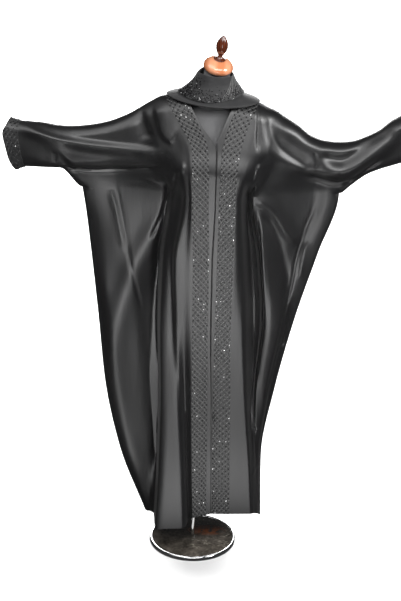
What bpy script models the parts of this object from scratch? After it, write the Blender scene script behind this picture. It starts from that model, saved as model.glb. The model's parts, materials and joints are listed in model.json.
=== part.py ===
"""Batwing abaya with beaded front bands, cuffs and neck wrap, worn on a limbless dress form.

The origin is the middle of the stand's underside, on the floor.  +X is the
garment's left-hand side as seen from the front, -Y is the front, +Z is up.
All tables are in millimetres.
"""
import math

import bmesh
import bpy
import numpy as np
from mathutils import Matrix, Vector

MM = 0.001

# ---------------------------------------------------------------- main sizes
CLOTH = 1.6 * MM            # wall of the satin panels
BAND = 1.4 * MM             # wall of the beaded bands
WRAP = 2.2 * MM             # wall of the neck wrap
SEAM_GAP = 0.3 * MM         # air between two pieces that meet
LAP_GAP = 0.5 * MM          # air under a band that lies on a panel
FRONT_LAP = 12.0            # the right front runs this far under the left one
LAP_STEP = 3.6              # and lies this much deeper there
ARM_ROW = 1285.0            # height where body and sleeve rows meet
SHOULDER_ROUND = 40.0       # rounding over the shoulders
SLEEVE_ROUND = 26.0         # rounding along the top of a sleeve
UNDER_ROUND = 24.0          # rounding along the underarm
WING_ROUND = 9.0            # rounding of the wing's side edge
FORM_CLEAR = 6.0            # cloth keeps this far off the form
CREASE_LIMIT = 0.33         # sharpest crease at which the wall keeps its full thickness
BACK_NECK_X, BACK_NECK_Z = 34.0, 1588.0              # middle of the back neckline
BACK_NECK_DEPTHS = (116, 114, 108, 88, 50)           # centre back, from the arm row up
BACK_NECK_COLUMNS = 3

BASE_R = 150.0
BASE_H = 14.0
RIM_W = 8.0
POLE_R = 7.0
POLE_FOOT = (0.0, 0.0, 14.0)
POLE_HEAD = (28.0, 0.0, 984.0)

CAP_CENTRE = (44.0, -40.0, 1694.0)
NECK_LEAN = 8.0             # degrees to the side
NECK_NOD = 18.0             # degrees forward
CAP_R, CAP_H = 47.0, 25.0   # half width and half height of the neck cap
CAP_FLAT_TOP, CAP_FLAT_LOW = 22.6, -20.0

# ---------------------------------------------------------------- body sections
# One row for each fold line, from the centre front out to the side edge.
# hem_x, hem_z: where it meets the hem.  x350 ... x1285: its x at those heights.
# f...: how far it stands in front of the middle plane.  b...: the back panel.
# The side seam runs half way between the two at the edge.
STATIONS = (350.0, 600.0, 850.0, 1080.0, ARM_ROW)
LEFT_BODY = (
    # name       hem_x hem_z  x350 x600 x850 x1080 x1285  fh  f350 f600 f850 f1080 f1285  bh  b350 b600 b850 b1080 b1285
    ("centre",     60, 169,   56,  50,  41,   39,   44,  118, 121, 124, 127, 131, 134,  106, 110, 115, 118, 118, 116),
    ("band_in",    45, 165,   42,  38,  33,   31,   25,  118, 121, 124, 127, 131, 134,  112, 116, 118, 120, 119, 116),
    ("band_out",    0, 152,   -6, -13, -17,  -20,  -27,  118, 121, 124, 127, 131, 134,  128, 128, 124, 122, 120, 117),
    ("cleft",     -12, 138,  -24, -35, -43,  -44,  -35,  101, 101, 106, 123, 129, 128,  132, 130, 126, 122, 120, 116),
    ("panel_r",   -24, 126,  -36, -51, -66,  -76,  -48,  133, 131, 122, 123, 127, 124,  130, 128, 124, 120, 118, 115),
    ("panel_m",   -38, 127,  -50, -64, -81,  -88,  -62,  147, 139, 127, 112,  96,  95,  124, 122, 118, 114, 114, 112),
    ("panel_c",   -92, 125,  -91, -90, -99, -102,  -79,  149, 139, 125, 110,  89,  70,  108, 106, 104, 102, 104, 104),
    ("panel_l",  -125, 116, -117,-113,-118, -115,  -91,  142, 131, 119, 104,  78,  56,   90,  90,  90,  92,  94,  92),
    ("valley",   -137, 113, -131,-132,-140, -131, -106,   24,   0, -12, -14,   0,  24,   78,  78,  78,  80,  84,  78),
    ("inner",    -145, 112, -143,-150,-166, -156, -124,   14,   0,  -5,  -6,  12,  34,   64,  62,  60,  62,  66,  60),
    ("seam",     -151, 110, -162,-190, -214, -236, -271,    5,   6,  10,  12,  18,  18,   50,  42,  30,  24,  22,  20),
    ("wing",     -158, 107, -214,-258,-286, -306, -328,    0,  16,  22,  18,  12,  20,   38,  32,  28,  34,  35,  26),
    ("edge",     -169, 104, -256,-307,-332, -356, -380,   -8,   2,   6,  -4,  -5,  18,   34,  24,  21,  34,  36,  18),
)
RIGHT_BODY = (
    ("centre",     60, 169,   56,  50,  41,   39,   44,  118, 121, 124, 127, 131, 134,  106, 110, 115, 118, 118, 116),
    ("band_in",    66, 170,   62,  58,  56,   57,   57,  117, 120, 123, 126, 130, 133,  108, 112, 116, 119, 119, 116),
    ("band_out",  126, 170,  120, 115, 108,  109,  108,  116, 119, 122, 125, 129, 132,  120, 122, 122, 122, 120, 117),
    ("strip",     195, 172,  184, 161, 145,  134,  126,  116, 118, 121, 122, 119, 120,  124, 124, 122, 120, 118, 114),
    ("slope",     203, 169,  193, 176, 170,  155,  134,  108, 100,  86,  74,  68,  88,  122, 122, 118, 116, 114, 108),
    ("stripe",    208, 165,  199, 184, 187,  170,  145,  100,  86,  70,  56,  46,  56,  116, 116, 112, 108, 108, 100),
    ("slit_fold", 212, 160,  203, 190, 202,  184,  153,   90,  78,  74,  72,  72,  58,  106, 106, 106,  98,  98,  90),
    ("slit",      216, 155,  207, 196, 212,  193,  160,   83,  64,  44,  32,  30,  38,   94,  94,  96,  84,  88,  80),
    ("inner",     220, 150,  211, 202, 218,  199,  166,   74,  54,  54,  60,  65,  62,   80,  80,  86,  78,  80,  70),
    ("crest",     223, 146,  215, 216, 236,  215,  188,   66,  49,  53,  62,  60,  58,   60,  62,  68,  64,  66,  60),
    ("trough",    224, 142,  219, 230, 266,  268,  254,   60,  42,  50,  53,  36,  40,   36,  38,  42,  42,  44,  46),
    ("seam",      225, 138,  222, 240, 286,  313,  365,   54,  34,  40,  34,  22,  18,   10,  20,  22,  20,  20,  20),
    ("wing",      227, 135,  224, 251, 300,  349,  404,   50,  25,  22,  22,  22,  22,  -18,   4,  20,  22,  24,  22),
    ("edge",      234, 132,  229, 267, 321,  385,  442,   56,  28,  13,  15,  16,  18,  -36,  -4,  13,  15,  16,  18),
)
# Above the arm row each line runs on to the shoulder and sleeve top.
# x25, x50, x75: its x at those parts of the way up.  top_x, top_z: its end.
# f25 ... ftop and b25 ... btop: depth of front and back before the top is rounded.
LEFT_UPPER = (
    # name       x25   x50   x75  top_x top_z   f25 f50 f75 ftop  b25 b50 b75 btop
    ("centre",     44,   43,   -8,  -55, 1603,  134, 113, 90, 62,  114, 108, 92, 60),
    ("band_in",    24,   20,  -15,  -64, 1602,  134, 113, 90, 62,  114, 108, 92, 60),
    ("band_out",  -28,  -30,  -67, -118, 1590,  134, 113, 86, 58,  114, 106, 88, 56),
    ("cleft",     -40,  -50,  -86, -132, 1586,  130, 109, 83, 54,  113, 104, 86, 54),
    ("panel_r",   -54,  -66, -102, -145, 1580,  126, 105, 79, 51,  112, 102, 83, 52),
    ("panel_m",   -68,  -82, -116, -157, 1573,  117, 101, 75, 48,  110, 100, 80, 50),
    ("panel_c",   -88, -102, -132, -169, 1566,  100,  95, 70, 46,  104,  96, 76, 48),
    ("panel_l",  -105, -122, -150, -185, 1556,   85,  87, 66, 44,   96,  90, 70, 46),
    ("valley",   -124, -145, -172, -204, 1544,   66,  76, 60, 42,   84,  82, 64, 44),
    ("inner",    -148, -172, -198, -229, 1529,   52,  66, 54, 40,   68,  70, 58, 42),
    ("seam",     -280, -286, -292, -298, 1500,   24,  48, 44, 36,   27,  46, 46, 38),
    ("wing",     -338, -346, -353, -360, 1487,   24,  46, 42, 34,   27,  42, 42, 36),
    ("edge",     -392, -400, -408, -414, 1482,   24,  46, 40, 32,   26,  42, 40, 34),
)
RIGHT_UPPER = (
    ("centre",     44,   44,   70,  105, 1592,  134, 113, 90, 62,  114, 108, 92, 60),
    ("band_in",    59,   62,   81,  115, 1591,  133, 112, 89, 62,  114, 108, 92, 60),
    ("band_out",  110,  118,  138,  171, 1578,  132, 111, 86, 58,  114, 106, 88, 56),
    ("strip",     130,  140,  158,  183, 1572,  129, 109, 84, 56,  112, 102, 84, 52),
    ("slope",     140,  152,  172,  196, 1565,  121, 105, 80, 52,  108,  98, 80, 50),
    ("stripe",    152,  165,  186,  209, 1558,  110, 100, 76, 50,  102,  94, 76, 48),
    ("slit_fold", 163,  178,  200,  222, 1553,   98,  95, 73, 48,   94,  88, 72, 46),
    ("slit",      174,  192,  215,  238, 1545,   85,  88, 70, 46,   86,  82, 68, 45),
    ("inner",     185,  207,  230,  254, 1534,   75,  80, 66, 45,   78,  76, 64, 44),
    ("crest",     208,  230,  253,  276, 1521,   62,  70, 60, 44,   68,  70, 60, 42),
    ("trough",    264,  276,  290,  302, 1504,   50,  60, 52, 40,   56,  60, 54, 40),
    ("seam",      360,  354,  348,  342, 1473,   27,  50, 46, 36,   28,  46, 46, 38),
    ("wing",      400,  395,  391,  387, 1457,   28,  48, 44, 35,   28,  44, 42, 36),
    ("edge",      440,  436,  432,  428, 1453,   28,  47, 42, 34,   27,  43, 40, 34),
)
# Sleeve rings from the wing corner out to the cuff; low_x, low_z is the underarm.
LEFT_SLEEVE = (
    # name      low_x low_z   x25   x50   x75  top_x top_z  f0 f25 f50 f75 ftop  b0 b25 b50 b75 btop
    ("elbow",    -447, 1347, -450, -452, -454, -455, 1484,  36, 42, 48, 40, 34,  34, 40, 44, 40, 34),
    ("forearm",  -500, 1348, -500, -500, -500, -500, 1491,  36, 42, 46, 40, 34,  34, 40, 42, 38, 33),
    ("cuff_in",  -558, 1349, -566, -572, -576, -574, 1496,  34, 40, 42, 38, 32,  33, 38, 40, 36, 31),
    ("cuff_end", -587, 1339, -608, -618, -626, -605, 1504,  33, 38, 40, 36, 30,  32, 36, 38, 34, 30),
)
RIGHT_SLEEVE = (
    ("elbow",     478, 1315,  478,  476,  474,  472, 1457,  36, 44, 50, 42, 34,  34, 40, 46, 42, 34),
    ("forearm",   525, 1352,  524,  521,  518,  515, 1473,  36, 44, 48, 42, 34,  34, 40, 44, 40, 34),
    ("lower_arm", 565, 1370,  564,  561,  558,  554, 1494,  36, 42, 46, 40, 34,  34, 40, 42, 38, 33),
    ("wrist",     603, 1383,  602,  599,  596,  593, 1527,  35, 42, 44, 38, 33,  33, 39, 42, 38, 32),
    ("cuff_in",   650, 1398,  655,  660,  664,  662, 1566,  34, 40, 42, 38, 32,  33, 38, 40, 36, 31),
    ("cuff_end",  686, 1408,  702,  712,  718,  696, 1590,  33, 38, 40, 36, 30,  32, 36, 38, 34, 30),
)
# Columns of faces between one line and the next, inner to outer.
LEFT_SPLITS = (1, 2, 1, 1, 1, 1, 1, 2, 1, 3, 2, 2, 2, 1, 1, 2)
RIGHT_SPLITS = (1, 2, 1, 1, 1, 1, 1, 1, 1, 1, 2, 2, 2, 1, 1, 1, 1, 1, 2)
BODY_ROWS = 12
UPPER_ROWS = 9

# Main folds: a soft ridge (high > 0) or trough (high < 0) along a path.
# side, x0,z0, x1,z1, x2,z2: three points of the path; wide and high in mm.
MAIN_FOLDS = (
    # name             side   x0    z0    x1    z1    x2    z2   wide high
    ("sleeve_ridge_l", -1, -585, 1492, -370, 1432, -150, 1425,  15,  12),
    ("sleeve_gutter_l",-1, -560, 1462, -340, 1404, -160, 1408,  13, -12),
    ("sleeve_roll_l",  -1, -560, 1390, -330, 1380, -160, 1385,  20,  10),
    ("sleeve_under_l", -1, -440, 1346, -330, 1342, -150, 1358,  11, -12),
    ("sleeve_gutter_r", 1,  250, 1470,  400, 1385,  600, 1460,  15, -11),
    ("sleeve_roll_r",   1,  230, 1400,  420, 1345,  640, 1480,  20,  12),
    ("sleeve_under_r",  1,  180, 1400,  330, 1335,  470, 1325,  12, -12),
)

# ---------------------------------------------------------------- dress form
# Sections of the torso: height, middle x, middle y, half width, front, back,
# and how far the section leans (degrees to the side, degrees forward).
TORSO = (
    # name        z   mid_x mid_y half_w front back lean nod
    ("under",    985,   28,    0,  118,   78,  74,  0,  0),
    ("seat",     992,   28,    0,  134,   90,  86,  0,  0),
    ("hip",     1050,   29,    0,  148,  100,  97,  0,  0),
    ("belly",   1140,   28,    0,  136,   94,  88,  0,  0),
    ("waist",   1220,   27,    0,  112,   82,  76,  0,  0),
    ("ribs",    1290,   27,    0,  116,   96,  80,  0,  0),
    ("bust",    1360,   26,    0,  132,  116,  88,  0,  0),
    ("chest",   1430,   22,    0,  150,   98,  94,  0,  0),
    ("armhole", 1490,   17,    0,  172,   76,  84,  0,  0),
    ("shoulder",1525,   16,    0,  172,   58,  64,  0,  0),
    ("slope",   1550,   20,    0,  132,   48,  52,  0,  0),
    ("collar",  1572,   28,   -2,   84,   46,  46,  2,  2),
    ("neck_low",1596,   34,  -10,   54,   46,  44,  5, 10),
    ("neck_mid",1630,   37,  -20,   43,   43,  41,  7, 14),
    ("neck_top",1674,   41,  -33,   40,   40,  40,  8, 18),
)
TORSO_POWER = 2.25
TORSO_SIDES = 32

# ---------------------------------------------------------------- neck wrap
# Rings of the two stretches of the wrap, from the top down.
# mid_x, mid_y, half_w; front, back: half depths; heights at left, right, front, back.
WRAP_UPPER = (
    # mid_x mid_y half_w front back  z_left z_right z_front z_back
    (37,   -34,   51,    50,  47,    1671,  1664,   1663,  1680),
    (37,   -33,   56,    55,  51,    1674,  1667,   1668,  1684),
    (33,   -26,   68,    62,  58,    1648,  1648,   1640,  1655),
    (28,   -18,   84,    74,  68,    1626,  1632,   1617,  1634),
    (25,   -12,   97,    84,  78,    1613,  1617,   1600,  1617),
    (24,   -10,  104,    88,  82,    1609,  1610,   1592,  1610),
)
WRAP_LOWER = (
    (28,   -14,   86,    74,  66,    1613,  1608,   1598,  1617),
    (30,   -10,  102,    84,  76,    1606,  1600,   1588,  1605),
    (31,    -8,  130,    92,  86,    1603,  1591,   1583,  1599),
    (31,    -6,  146,    97,  92,    1599,  1583,   1580,  1595),
    (31,    -6,  143,    95,  90,    1596,  1579,   1576,  1591),
)
WRAP_SIDES = 24

# Finial, turned: radius and height along its axis.
FINIAL = (
    (18.0, 0.0), (18.4, 1.6), (15.6, 3.8), (10.0, 7.4), (7.6, 11.5), (8.0, 15.0),
    (11.2, 21.5), (15.4, 30.0), (18.2, 39.5), (18.8, 47.5), (17.4, 56.5),
    (13.8, 65.5), (9.6, 72.5), (5.2, 78.5), (1.8, 82.0),
)


# ---------------------------------------------------------------- small helpers
def cubic(knots, values, at):
    """Smooth curve through the knots that never overshoots them (monotone cubic)."""
    k = np.asarray(knots, float)
    v = np.asarray(values, float)
    h = np.diff(k)
    s = np.diff(v) / h
    m = np.zeros(len(k))
    m[0], m[-1] = s[0], s[-1]
    for i in range(1, len(k) - 1):
        if s[i - 1] * s[i] > 0:
            w1, w2 = 2 * h[i] + h[i - 1], h[i] + 2 * h[i - 1]
            m[i] = (w1 + w2) / (w1 / s[i - 1] + w2 / s[i])
    x = np.clip(np.asarray(at, float), k[0], k[-1])
    i = np.clip(np.searchsorted(k, x, side="right") - 1, 0, len(k) - 2)
    t = (x - k[i]) / h[i]
    return ((2 * t**3 - 3 * t**2 + 1) * v[i] + (t**3 - 2 * t**2 + t) * h[i] * m[i]
            + (3 * t**2 - 2 * t**3) * v[i + 1] + (t**3 - t**2) * h[i] * m[i + 1])


def smooth(a, b, x):
    t = np.clip((np.asarray(x, float) - a) / (b - a), 0.0, 1.0)
    return t * t * (3 - 2 * t)


def rounded(t):
    """Quarter circle: 0 at an edge, 1 once past its rounding."""
    t = np.clip(t, 0.0, 1.0)
    return np.sqrt(np.clip(1 - (1 - t) ** 2, 0, 1))


def distance_to_path(x, z, path):
    """Distance from points to a polyline, and how far along it the nearest point is."""
    path = np.asarray(path, float)
    best = np.full(np.shape(x), 1e9)
    along = np.zeros(np.shape(x))
    lengths = np.hypot(*np.diff(path, axis=0).T)
    total, run = lengths.sum(), 0.0
    for (ax, az), (bx, bz), length in zip(path[:-1], path[1:], lengths):
        if length < 1e-9:
            continue
        t = np.clip(((x - ax) * (bx - ax) + (z - az) * (bz - az)) / length**2, 0, 1)
        d = np.hypot(x - ax - t * (bx - ax), z - az - t * (bz - az))
        near = d < best
        best = np.where(near, d, best)
        along = np.where(near, (run + t * length) / total, along)
        run += length
    return best, along


def form_depth(x, z, which):
    """Depth of the form's surface in front of (or behind) the middle plane."""
    rows = TORSO[:14]
    zs = [r[1] for r in rows]
    mid_x = np.interp(z, zs, [r[2] for r in rows])
    mid_y = np.interp(z, zs, [r[3] for r in rows])
    half = np.interp(z, zs, [r[4] for r in rows])
    deep = np.interp(z, zs, [r[5 if which == "front" else 6] for r in rows])
    u = np.clip(np.abs(x - mid_x) / half, 0, 1)
    depth = deep * (1 - u**TORSO_POWER) ** (1 / TORSO_POWER)
    depth = depth + (-mid_y if which == "front" else mid_y)
    inside = (u < 1) & (z > zs[0] - 12) & (z < zs[-1])
    return np.where(inside, depth, -1e3)


# ---------------------------------------------------------------- cloth sections
def line_columns(lines, splits):
    """Fractional line numbers of the columns; finer towards an outer edge."""
    cols = [0.0]
    for i, n in enumerate(splits):
        for j in range(1, n + 1):
            t = j / n
            if lines[i + 1] == "edge" and n > 1:
                t = math.sin(t * math.pi / 2)
            cols.append(i + t)
    return cols


class Half:
    """One side of the garment: front and back share its outline."""

    def __init__(self, side, body, upper, sleeve, splits, body_rows, upper_rows):
        self.side = side
        self.body, self.upper, self.sleeve = body, upper, sleeve
        names = [r[0] for r in body] + [r[0] for r in sleeve]
        self.names = names
        self.n_body = len(body)
        self.cols = line_columns(names, splits)
        self.col_of = {n: self.cols.index(float(i)) for i, n in enumerate(names)}
        self.body_v = [i / body_rows for i in range(body_rows + 1)]
        self.upper_v = [(1 - math.cos(math.pi * j / upper_rows)) / 2
                        for j in range(upper_rows + 1)]
        self.build()

    def line_knots(self, i, which):
        """Knots of one body line from hem to top: heights, x and depths."""
        b, u = self.body[i], self.upper[i]
        quarters = (0.25, 0.5, 0.75, 1.0)
        z = (b[2],) + STATIONS + tuple(ARM_ROW + q * (u[5] - ARM_ROW) for q in quarters)
        x = (b[1],) + b[3:8] + u[1:4] + (u[4],)
        d = (b[8:14] + u[6:10]) if which == "front" else (b[14:20] + u[10:14])
        return z, x, d

    def body_line(self, i, v, which):
        """x, z and depth of one body line at the fractions v of its height."""
        knots, xs, ds = self.line_knots(i, which)
        z = knots[0] + np.asarray(v) * (ARM_ROW - knots[0])
        return cubic(knots, xs, z), z, cubic(knots, ds, z)

    def upper_line(self, i, v, which):
        v = np.asarray(v)
        if i < self.n_body:
            knots, xs, ds = self.line_knots(i, which)
            z = ARM_ROW + v * (knots[-1] - ARM_ROW)
            return cubic(knots, xs, z), z, cubic(knots, ds, z)
        s = self.sleeve[i - self.n_body]
        quarters = (0.0, 0.25, 0.5, 0.75, 1.0)
        xs = (s[1],) + s[3:6] + (s[6],)
        ds = s[8:13] if which == "front" else s[13:18]
        return cubic(quarters, xs, v), s[2] + v * (s[7] - s[2]), cubic(quarters, ds, v)

    def across(self, rows):
        """Columns between the lines, read off smooth curves across them."""
        rows = np.asarray(rows)                       # lines x heights
        knots = np.arange(rows.shape[0])
        cols = [c for c in self.cols if c <= knots[-1] + 1e-9]
        return np.stack([cubic(knots, rows[:, j], cols) for j in range(rows.shape[1])])

    def build(self):
        self.grid = {}
        for which in ("front", "back"):
            body = [self.body_line(i, self.body_v, which) for i in range(self.n_body)]
            upper = [self.upper_line(i, self.upper_v, which)
                     for i in range(len(self.names))]
            for part, lines in (("body", body), ("upper", upper)):
                self.grid[which, part] = [self.across([l[k] for l in lines])
                                          for k in range(3)]
        bx, bz, _ = self.grid["front", "body"]
        ux, uz, _ = self.grid["front", "upper"]
        n = bx.shape[1]
        self.n_cols = n
        self.side_path = np.c_[bx[:, -1], bz[:, -1]]
        self.top_path = np.c_[ux[-1], uz[-1]]
        self.under_path = np.c_[ux[0, n - 1:], uz[0, n - 1:]]
        self.mid_z = bz[:, -1]
        self.mid_d = (self.grid["front", "body"][2][:, -1]
                      - self.grid["back", "body"][2][:, -1]) / 2
        for which in ("front", "back"):
            for part in ("body", "upper"):
                x, z, d = self.grid[which, part]
                self.grid[which, part] = (x, z, self.depth(x, z, d, which))

    def depth(self, x, z, d, which):
        """Depth with the form kept clear, the main folds laid in and edges rounded."""
        sign = 1 if which == "front" else -1
        mid = sign * np.interp(z, self.mid_z, self.mid_d)
        d = d + self.folds(x, z, which)
        d = np.maximum(d, form_depth(x, z, which) + FORM_CLEAR)
        off = np.abs(x) / 600.0
        top_r = SHOULDER_ROUND + (SLEEVE_ROUND - SHOULDER_ROUND) * smooth(0.25, 0.6, off)
        to_top, _ = distance_to_path(x, z, self.top_path)
        to_side, _ = distance_to_path(x, z, self.side_path)
        to_under, _ = distance_to_path(x, z, self.under_path)
        g = rounded(to_top / top_r) * rounded(to_side / WING_ROUND) * rounded(to_under / UNDER_ROUND)
        return mid + (d - mid) * g

    def folds(self, x, z, which):
        total = np.zeros(np.shape(x))
        for name, side, x0, z0, x1, z1, x2, z2, wide, high in MAIN_FOLDS:
            if side != self.side:
                continue
            t = np.linspace(0, 1, 13)
            path = np.c_[(1 - t)**2 * x0 + 2 * t * (1 - t) * (2 * x1 - (x0 + x2) / 2) + t**2 * x2,
                         (1 - t)**2 * z0 + 2 * t * (1 - t) * (2 * z1 - (z0 + z2) / 2) + t**2 * z2]
            dist, along = distance_to_path(x, z, path)
            fade = smooth(0, 0.12, along) * smooth(0, 0.12, 1 - along)
            total += (high if which == "front" else 0.8 * high) * fade * np.exp(-(dist / wide) ** 2)
        return total

    def vertices(self, which, first_col=0, lap=0.0):
        """Points of the whole half, with the index of each grid node."""
        sign = -1.0 if which == "front" else 1.0
        points, body_index, upper_index = [], {}, {}
        bx, bz, bd = self.grid[which, "body"]
        ux, uz, ud = self.grid[which, "upper"]

        def add(x, z, d, seam):
            y = sign * d
            if seam:
                y += sign * 0.5 * SEAM_GAP / MM
            points.append((x, y, z))
            return len(points) - 1

        rows, cols = bx.shape
        for r in range(rows):
            for c in range(cols):
                body_index[r, c] = add(bx[r, c], bz[r, c], bd[r, c], c == cols - 1)
        rows_u, cols_u = ux.shape
        for r in range(rows_u):
            for c in range(cols_u):
                if r == 0 and c < cols:
                    upper_index[r, c] = body_index[rows - 1, c]
                else:
                    seam = r == rows_u - 1 or (r == 0 and c >= cols - 1)
                    upper_index[r, c] = add(ux[r, c], uz[r, c], ud[r, c], seam)
        return points, body_index, upper_index


# ---------------------------------------------------------------- making solids
def material(name, colour, roughness, metallic=0.0, sheen=0.0, coat=0.0):
    m = bpy.data.materials.new(name)
    m.use_nodes = True
    p = m.node_tree.nodes["Principled BSDF"]
    p.inputs["Base Color"].default_value = (*colour, 1.0)
    p.inputs["Roughness"].default_value = roughness
    p.inputs["Metallic"].default_value = metallic
    p.inputs["Sheen Weight"].default_value = sheen
    p.inputs["Coat Weight"].default_value = coat
    return m


def add_object(mesh, mat, collection):
    mesh.materials.append(mat)
    obj = bpy.data.objects.new(mesh.name, mesh)
    collection.objects.link(obj)
    return obj


def vertex_normals(points, faces):
    """Normals weighted by each face's corner angle."""
    p = np.asarray(points, float)
    n = np.zeros_like(p)
    for f in faces:
        for i, j, k in (f, f[1:] + f[:1], f[2:] + f[:2]):
            u, v = p[j] - p[i], p[k] - p[i]
            cross = np.cross(u, v)
            size = np.linalg.norm(cross)
            if size > 1e-12:
                n[i] += cross / size * math.atan2(size, float(np.dot(u, v)))
    length = np.linalg.norm(n, axis=1)
    length[length < 1e-12] = 1.0
    return n / length[:, None]


def split_quad(a, b, c, d):
    return [(a, b, c), (a, c, d)]


def even_lengths(points, faces, normals, keep):
    """How much longer an offset is at a crease, so the wall keeps its thickness beside it."""
    p = np.asarray(points, float)
    least = np.ones(len(p))
    for f in faces:
        a, b, c = (p[i] for i in f)
        k = np.cross(b - a, c - a)
        k = k / max(np.linalg.norm(k), 1e-12)
        for i in f:
            least[i] = min(least[i], float(np.dot(k, normals[i])))
    longer = 1.0 / np.clip(least, CREASE_LIMIT, 1.0)
    longer[list(keep)] = 1.0
    return longer


def wall(name, points, faces, normals, thick, keep, mat, collection):
    """Closed cloth wall under a sheet of points; the nodes in keep lie on a seam."""
    p = np.asarray(points, float) * MM
    n = np.asarray(normals, float) * even_lengths(points, faces, normals, keep)[:, None]
    used = sorted({i for f in faces for i in f})
    new = {old: k for k, old in enumerate(used)}
    faces = [tuple(new[i] for i in f) for f in faces]
    low = p[used] - n[used] * thick
    high = p[used]
    count = len(used)
    edges = {}
    for f in faces:
        for a, b in zip(f, f[1:] + f[:1]):
            edges[a, b] = edges.get((a, b), 0) + 1
    rim = [e for e in edges if (e[1], e[0]) not in edges]
    all_faces = [tuple(i + count for i in f) for f in faces]
    all_faces += [tuple(reversed(f)) for f in faces]
    all_faces += [t for a, b in rim for t in ((b + count, a + count, a), (b + count, a, b))]
    mesh = bpy.data.meshes.new(name)
    mesh.from_pydata([tuple(v) for v in np.vstack([low, high])], [], all_faces)
    mesh.update()
    obj = add_object(mesh, mat, collection)
    mesh.shade_smooth()
    mesh.set_sharp_from_angle(angle=math.radians(50))
    return obj


def shell(name, points, faces, thick, offset, mat, collection):
    """Open surface with a Solidify wall on its outer (+1) or inner (-1) side."""
    used = sorted({i for f in faces for i in f})
    new = {old: k for k, old in enumerate(used)}
    mesh = bpy.data.meshes.new(name)
    mesh.from_pydata([tuple(float(x) * MM for x in points[i]) for i in used], [],
                     [tuple(new[i] for i in f) for f in faces])
    mesh.update()
    mesh.shade_smooth()
    mesh.set_sharp_from_angle(angle=math.radians(50))
    obj = add_object(mesh, mat, collection)
    solid = obj.modifiers.new("wall", "SOLIDIFY")
    solid.thickness = thick
    solid.offset = offset
    solid.use_rim = True
    return obj


def loft(name, rings, mat, collection, close_first=True, close_last=True):
    """Skin over closed rings of equal count, capped at the ends."""
    bm = bmesh.new()
    loops = [[bm.verts.new(Vector(p) * MM) for p in ring] for ring in rings]
    for low, high in zip(loops, loops[1:]):
        for i in range(len(low)):
            j = (i + 1) % len(low)
            bm.faces.new((low[i], low[j], high[j], high[i]))
    if close_first:
        bm.faces.new(list(reversed(loops[0])))
    if close_last:
        bm.faces.new(loops[-1])
    bmesh.ops.recalc_face_normals(bm, faces=bm.faces)
    mesh = bpy.data.meshes.new(name)
    bm.to_mesh(mesh)
    bm.free()
    mesh.shade_smooth()
    mesh.set_sharp_from_angle(angle=math.radians(40))
    return add_object(mesh, mat, collection)


def turned(name, profile, steps, mat, collection, place=Matrix.Identity(4)):
    """Solid of revolution about +Z from a profile, top to bottom, by Screw."""
    mesh = bpy.data.meshes.new(name)
    verts = [(r * MM, 0, h * MM) for r, h in profile]
    mesh.from_pydata(verts, [(i, i + 1) for i in range(len(verts) - 1)], [])
    obj = add_object(mesh, mat, collection)
    screw = obj.modifiers.new("turn", "SCREW")
    screw.axis = "Z"
    screw.angle = math.tau
    screw.steps = screw.render_steps = steps
    screw.use_merge_vertices = True
    screw.merge_threshold = 0.00001
    screw.use_smooth_shade = True
    obj.matrix_world = place
    return obj


# ---------------------------------------------------------------- garment pieces
def half_faces(half, body_index, upper_index, flip, first=0, last=None, upper_last=None, trim_top=0):
    """Triangles of a half between two columns, wound outward."""
    rows_b = len(half.body_v)
    rows_u = len(half.upper_v) - trim_top
    last_b = half.n_cols - 1 if last is None else last
    last_u = len(half.cols) - 1 if upper_last is None else upper_last
    faces = []
    for index, rows, stop in ((body_index, rows_b, last_b), (upper_index, rows_u, last_u)):
        for r in range(rows - 1):
            for c in range(first, stop):
                q = (index[r, c], index[r, c + 1], index[r + 1, c + 1], index[r + 1, c])
                faces += split_quad(*(q[::-1] if flip else q))
    return faces


def seam_nodes(half, body_index, upper_index):
    nodes = set()
    last = half.n_cols - 1
    for r in range(len(half.body_v)):
        nodes.add(body_index[r, last])
    top = len(half.upper_v) - 1
    for c in range(len(half.cols)):
        nodes.add(upper_index[top, c])
        if c >= last:
            nodes.add(upper_index[0, c])
    return nodes


def flat_at_seams(normals, nodes):
    """Where front and back meet edge to edge the wall ends square in the middle plane."""
    for i in nodes:
        n = normals[i]
        n[1] = 0.0
        length = np.linalg.norm(n)
        if length > 1e-9:
            normals[i] = n / length
    return normals


def front_panel(name, half, satin, collection):
    points, bi, ui = half.vertices("front")
    points = [list(p) for p in points]
    # columns run outward: +x on the right half, -x on the left half
    faces = half_faces(half, bi, ui, flip=half.side < 0)
    if half.side > 0:
        add_underlap(half, points, bi, ui, faces)
    seams = seam_nodes(half, bi, ui)
    normals = flat_at_seams(vertex_normals(points, faces), seams)
    wall(name, points, faces, normals, CLOTH, seams, satin, collection)
    return points, bi, ui, normals


def add_underlap(half, points, bi, ui, faces):
    """The right front's edge strip, which lies under the left front."""
    def lap_at(z):
        return FRONT_LAP - (FRONT_LAP - 4.0) * smooth(1400, 1450, z)

    def step_at(z):
        return LAP_STEP * (1 - smooth(1425, 1465, z))

    strips = []
    for index, rows in ((bi, len(half.body_v)), (ui, len(half.upper_v))):
        strip = []
        for r in range(rows):
            i = index[r, 0]
            if index is ui and r == 0:
                strip.append(strips[0][-1])
                continue
            x, y, z = points[i]
            points[i][1] = y + step_at(z)
            points.append([x - lap_at(z), y + step_at(z), z])
            strip.append(len(points) - 1)
        strips.append(strip)
        for r in range(rows - 1):
            faces += split_quad(strip[r], index[r, 0], index[r + 1, 0], strip[r + 1])


def band_on_panel(name, half, data, mat, collection):
    """Beaded band on the front, from the panel's own points moved out."""
    points, bi, ui, normals = data
    a, b = half.col_of["band_in"], half.col_of["band_out"]
    faces = half_faces(half, bi, ui, flip=half.side < 0, first=a, last=b, upper_last=b, trim_top=1)
    raised = np.asarray(points, float) + np.asarray(normals) * LAP_GAP / MM
    return shell(name, raised, faces, BAND, 1.0, mat, collection)


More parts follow.
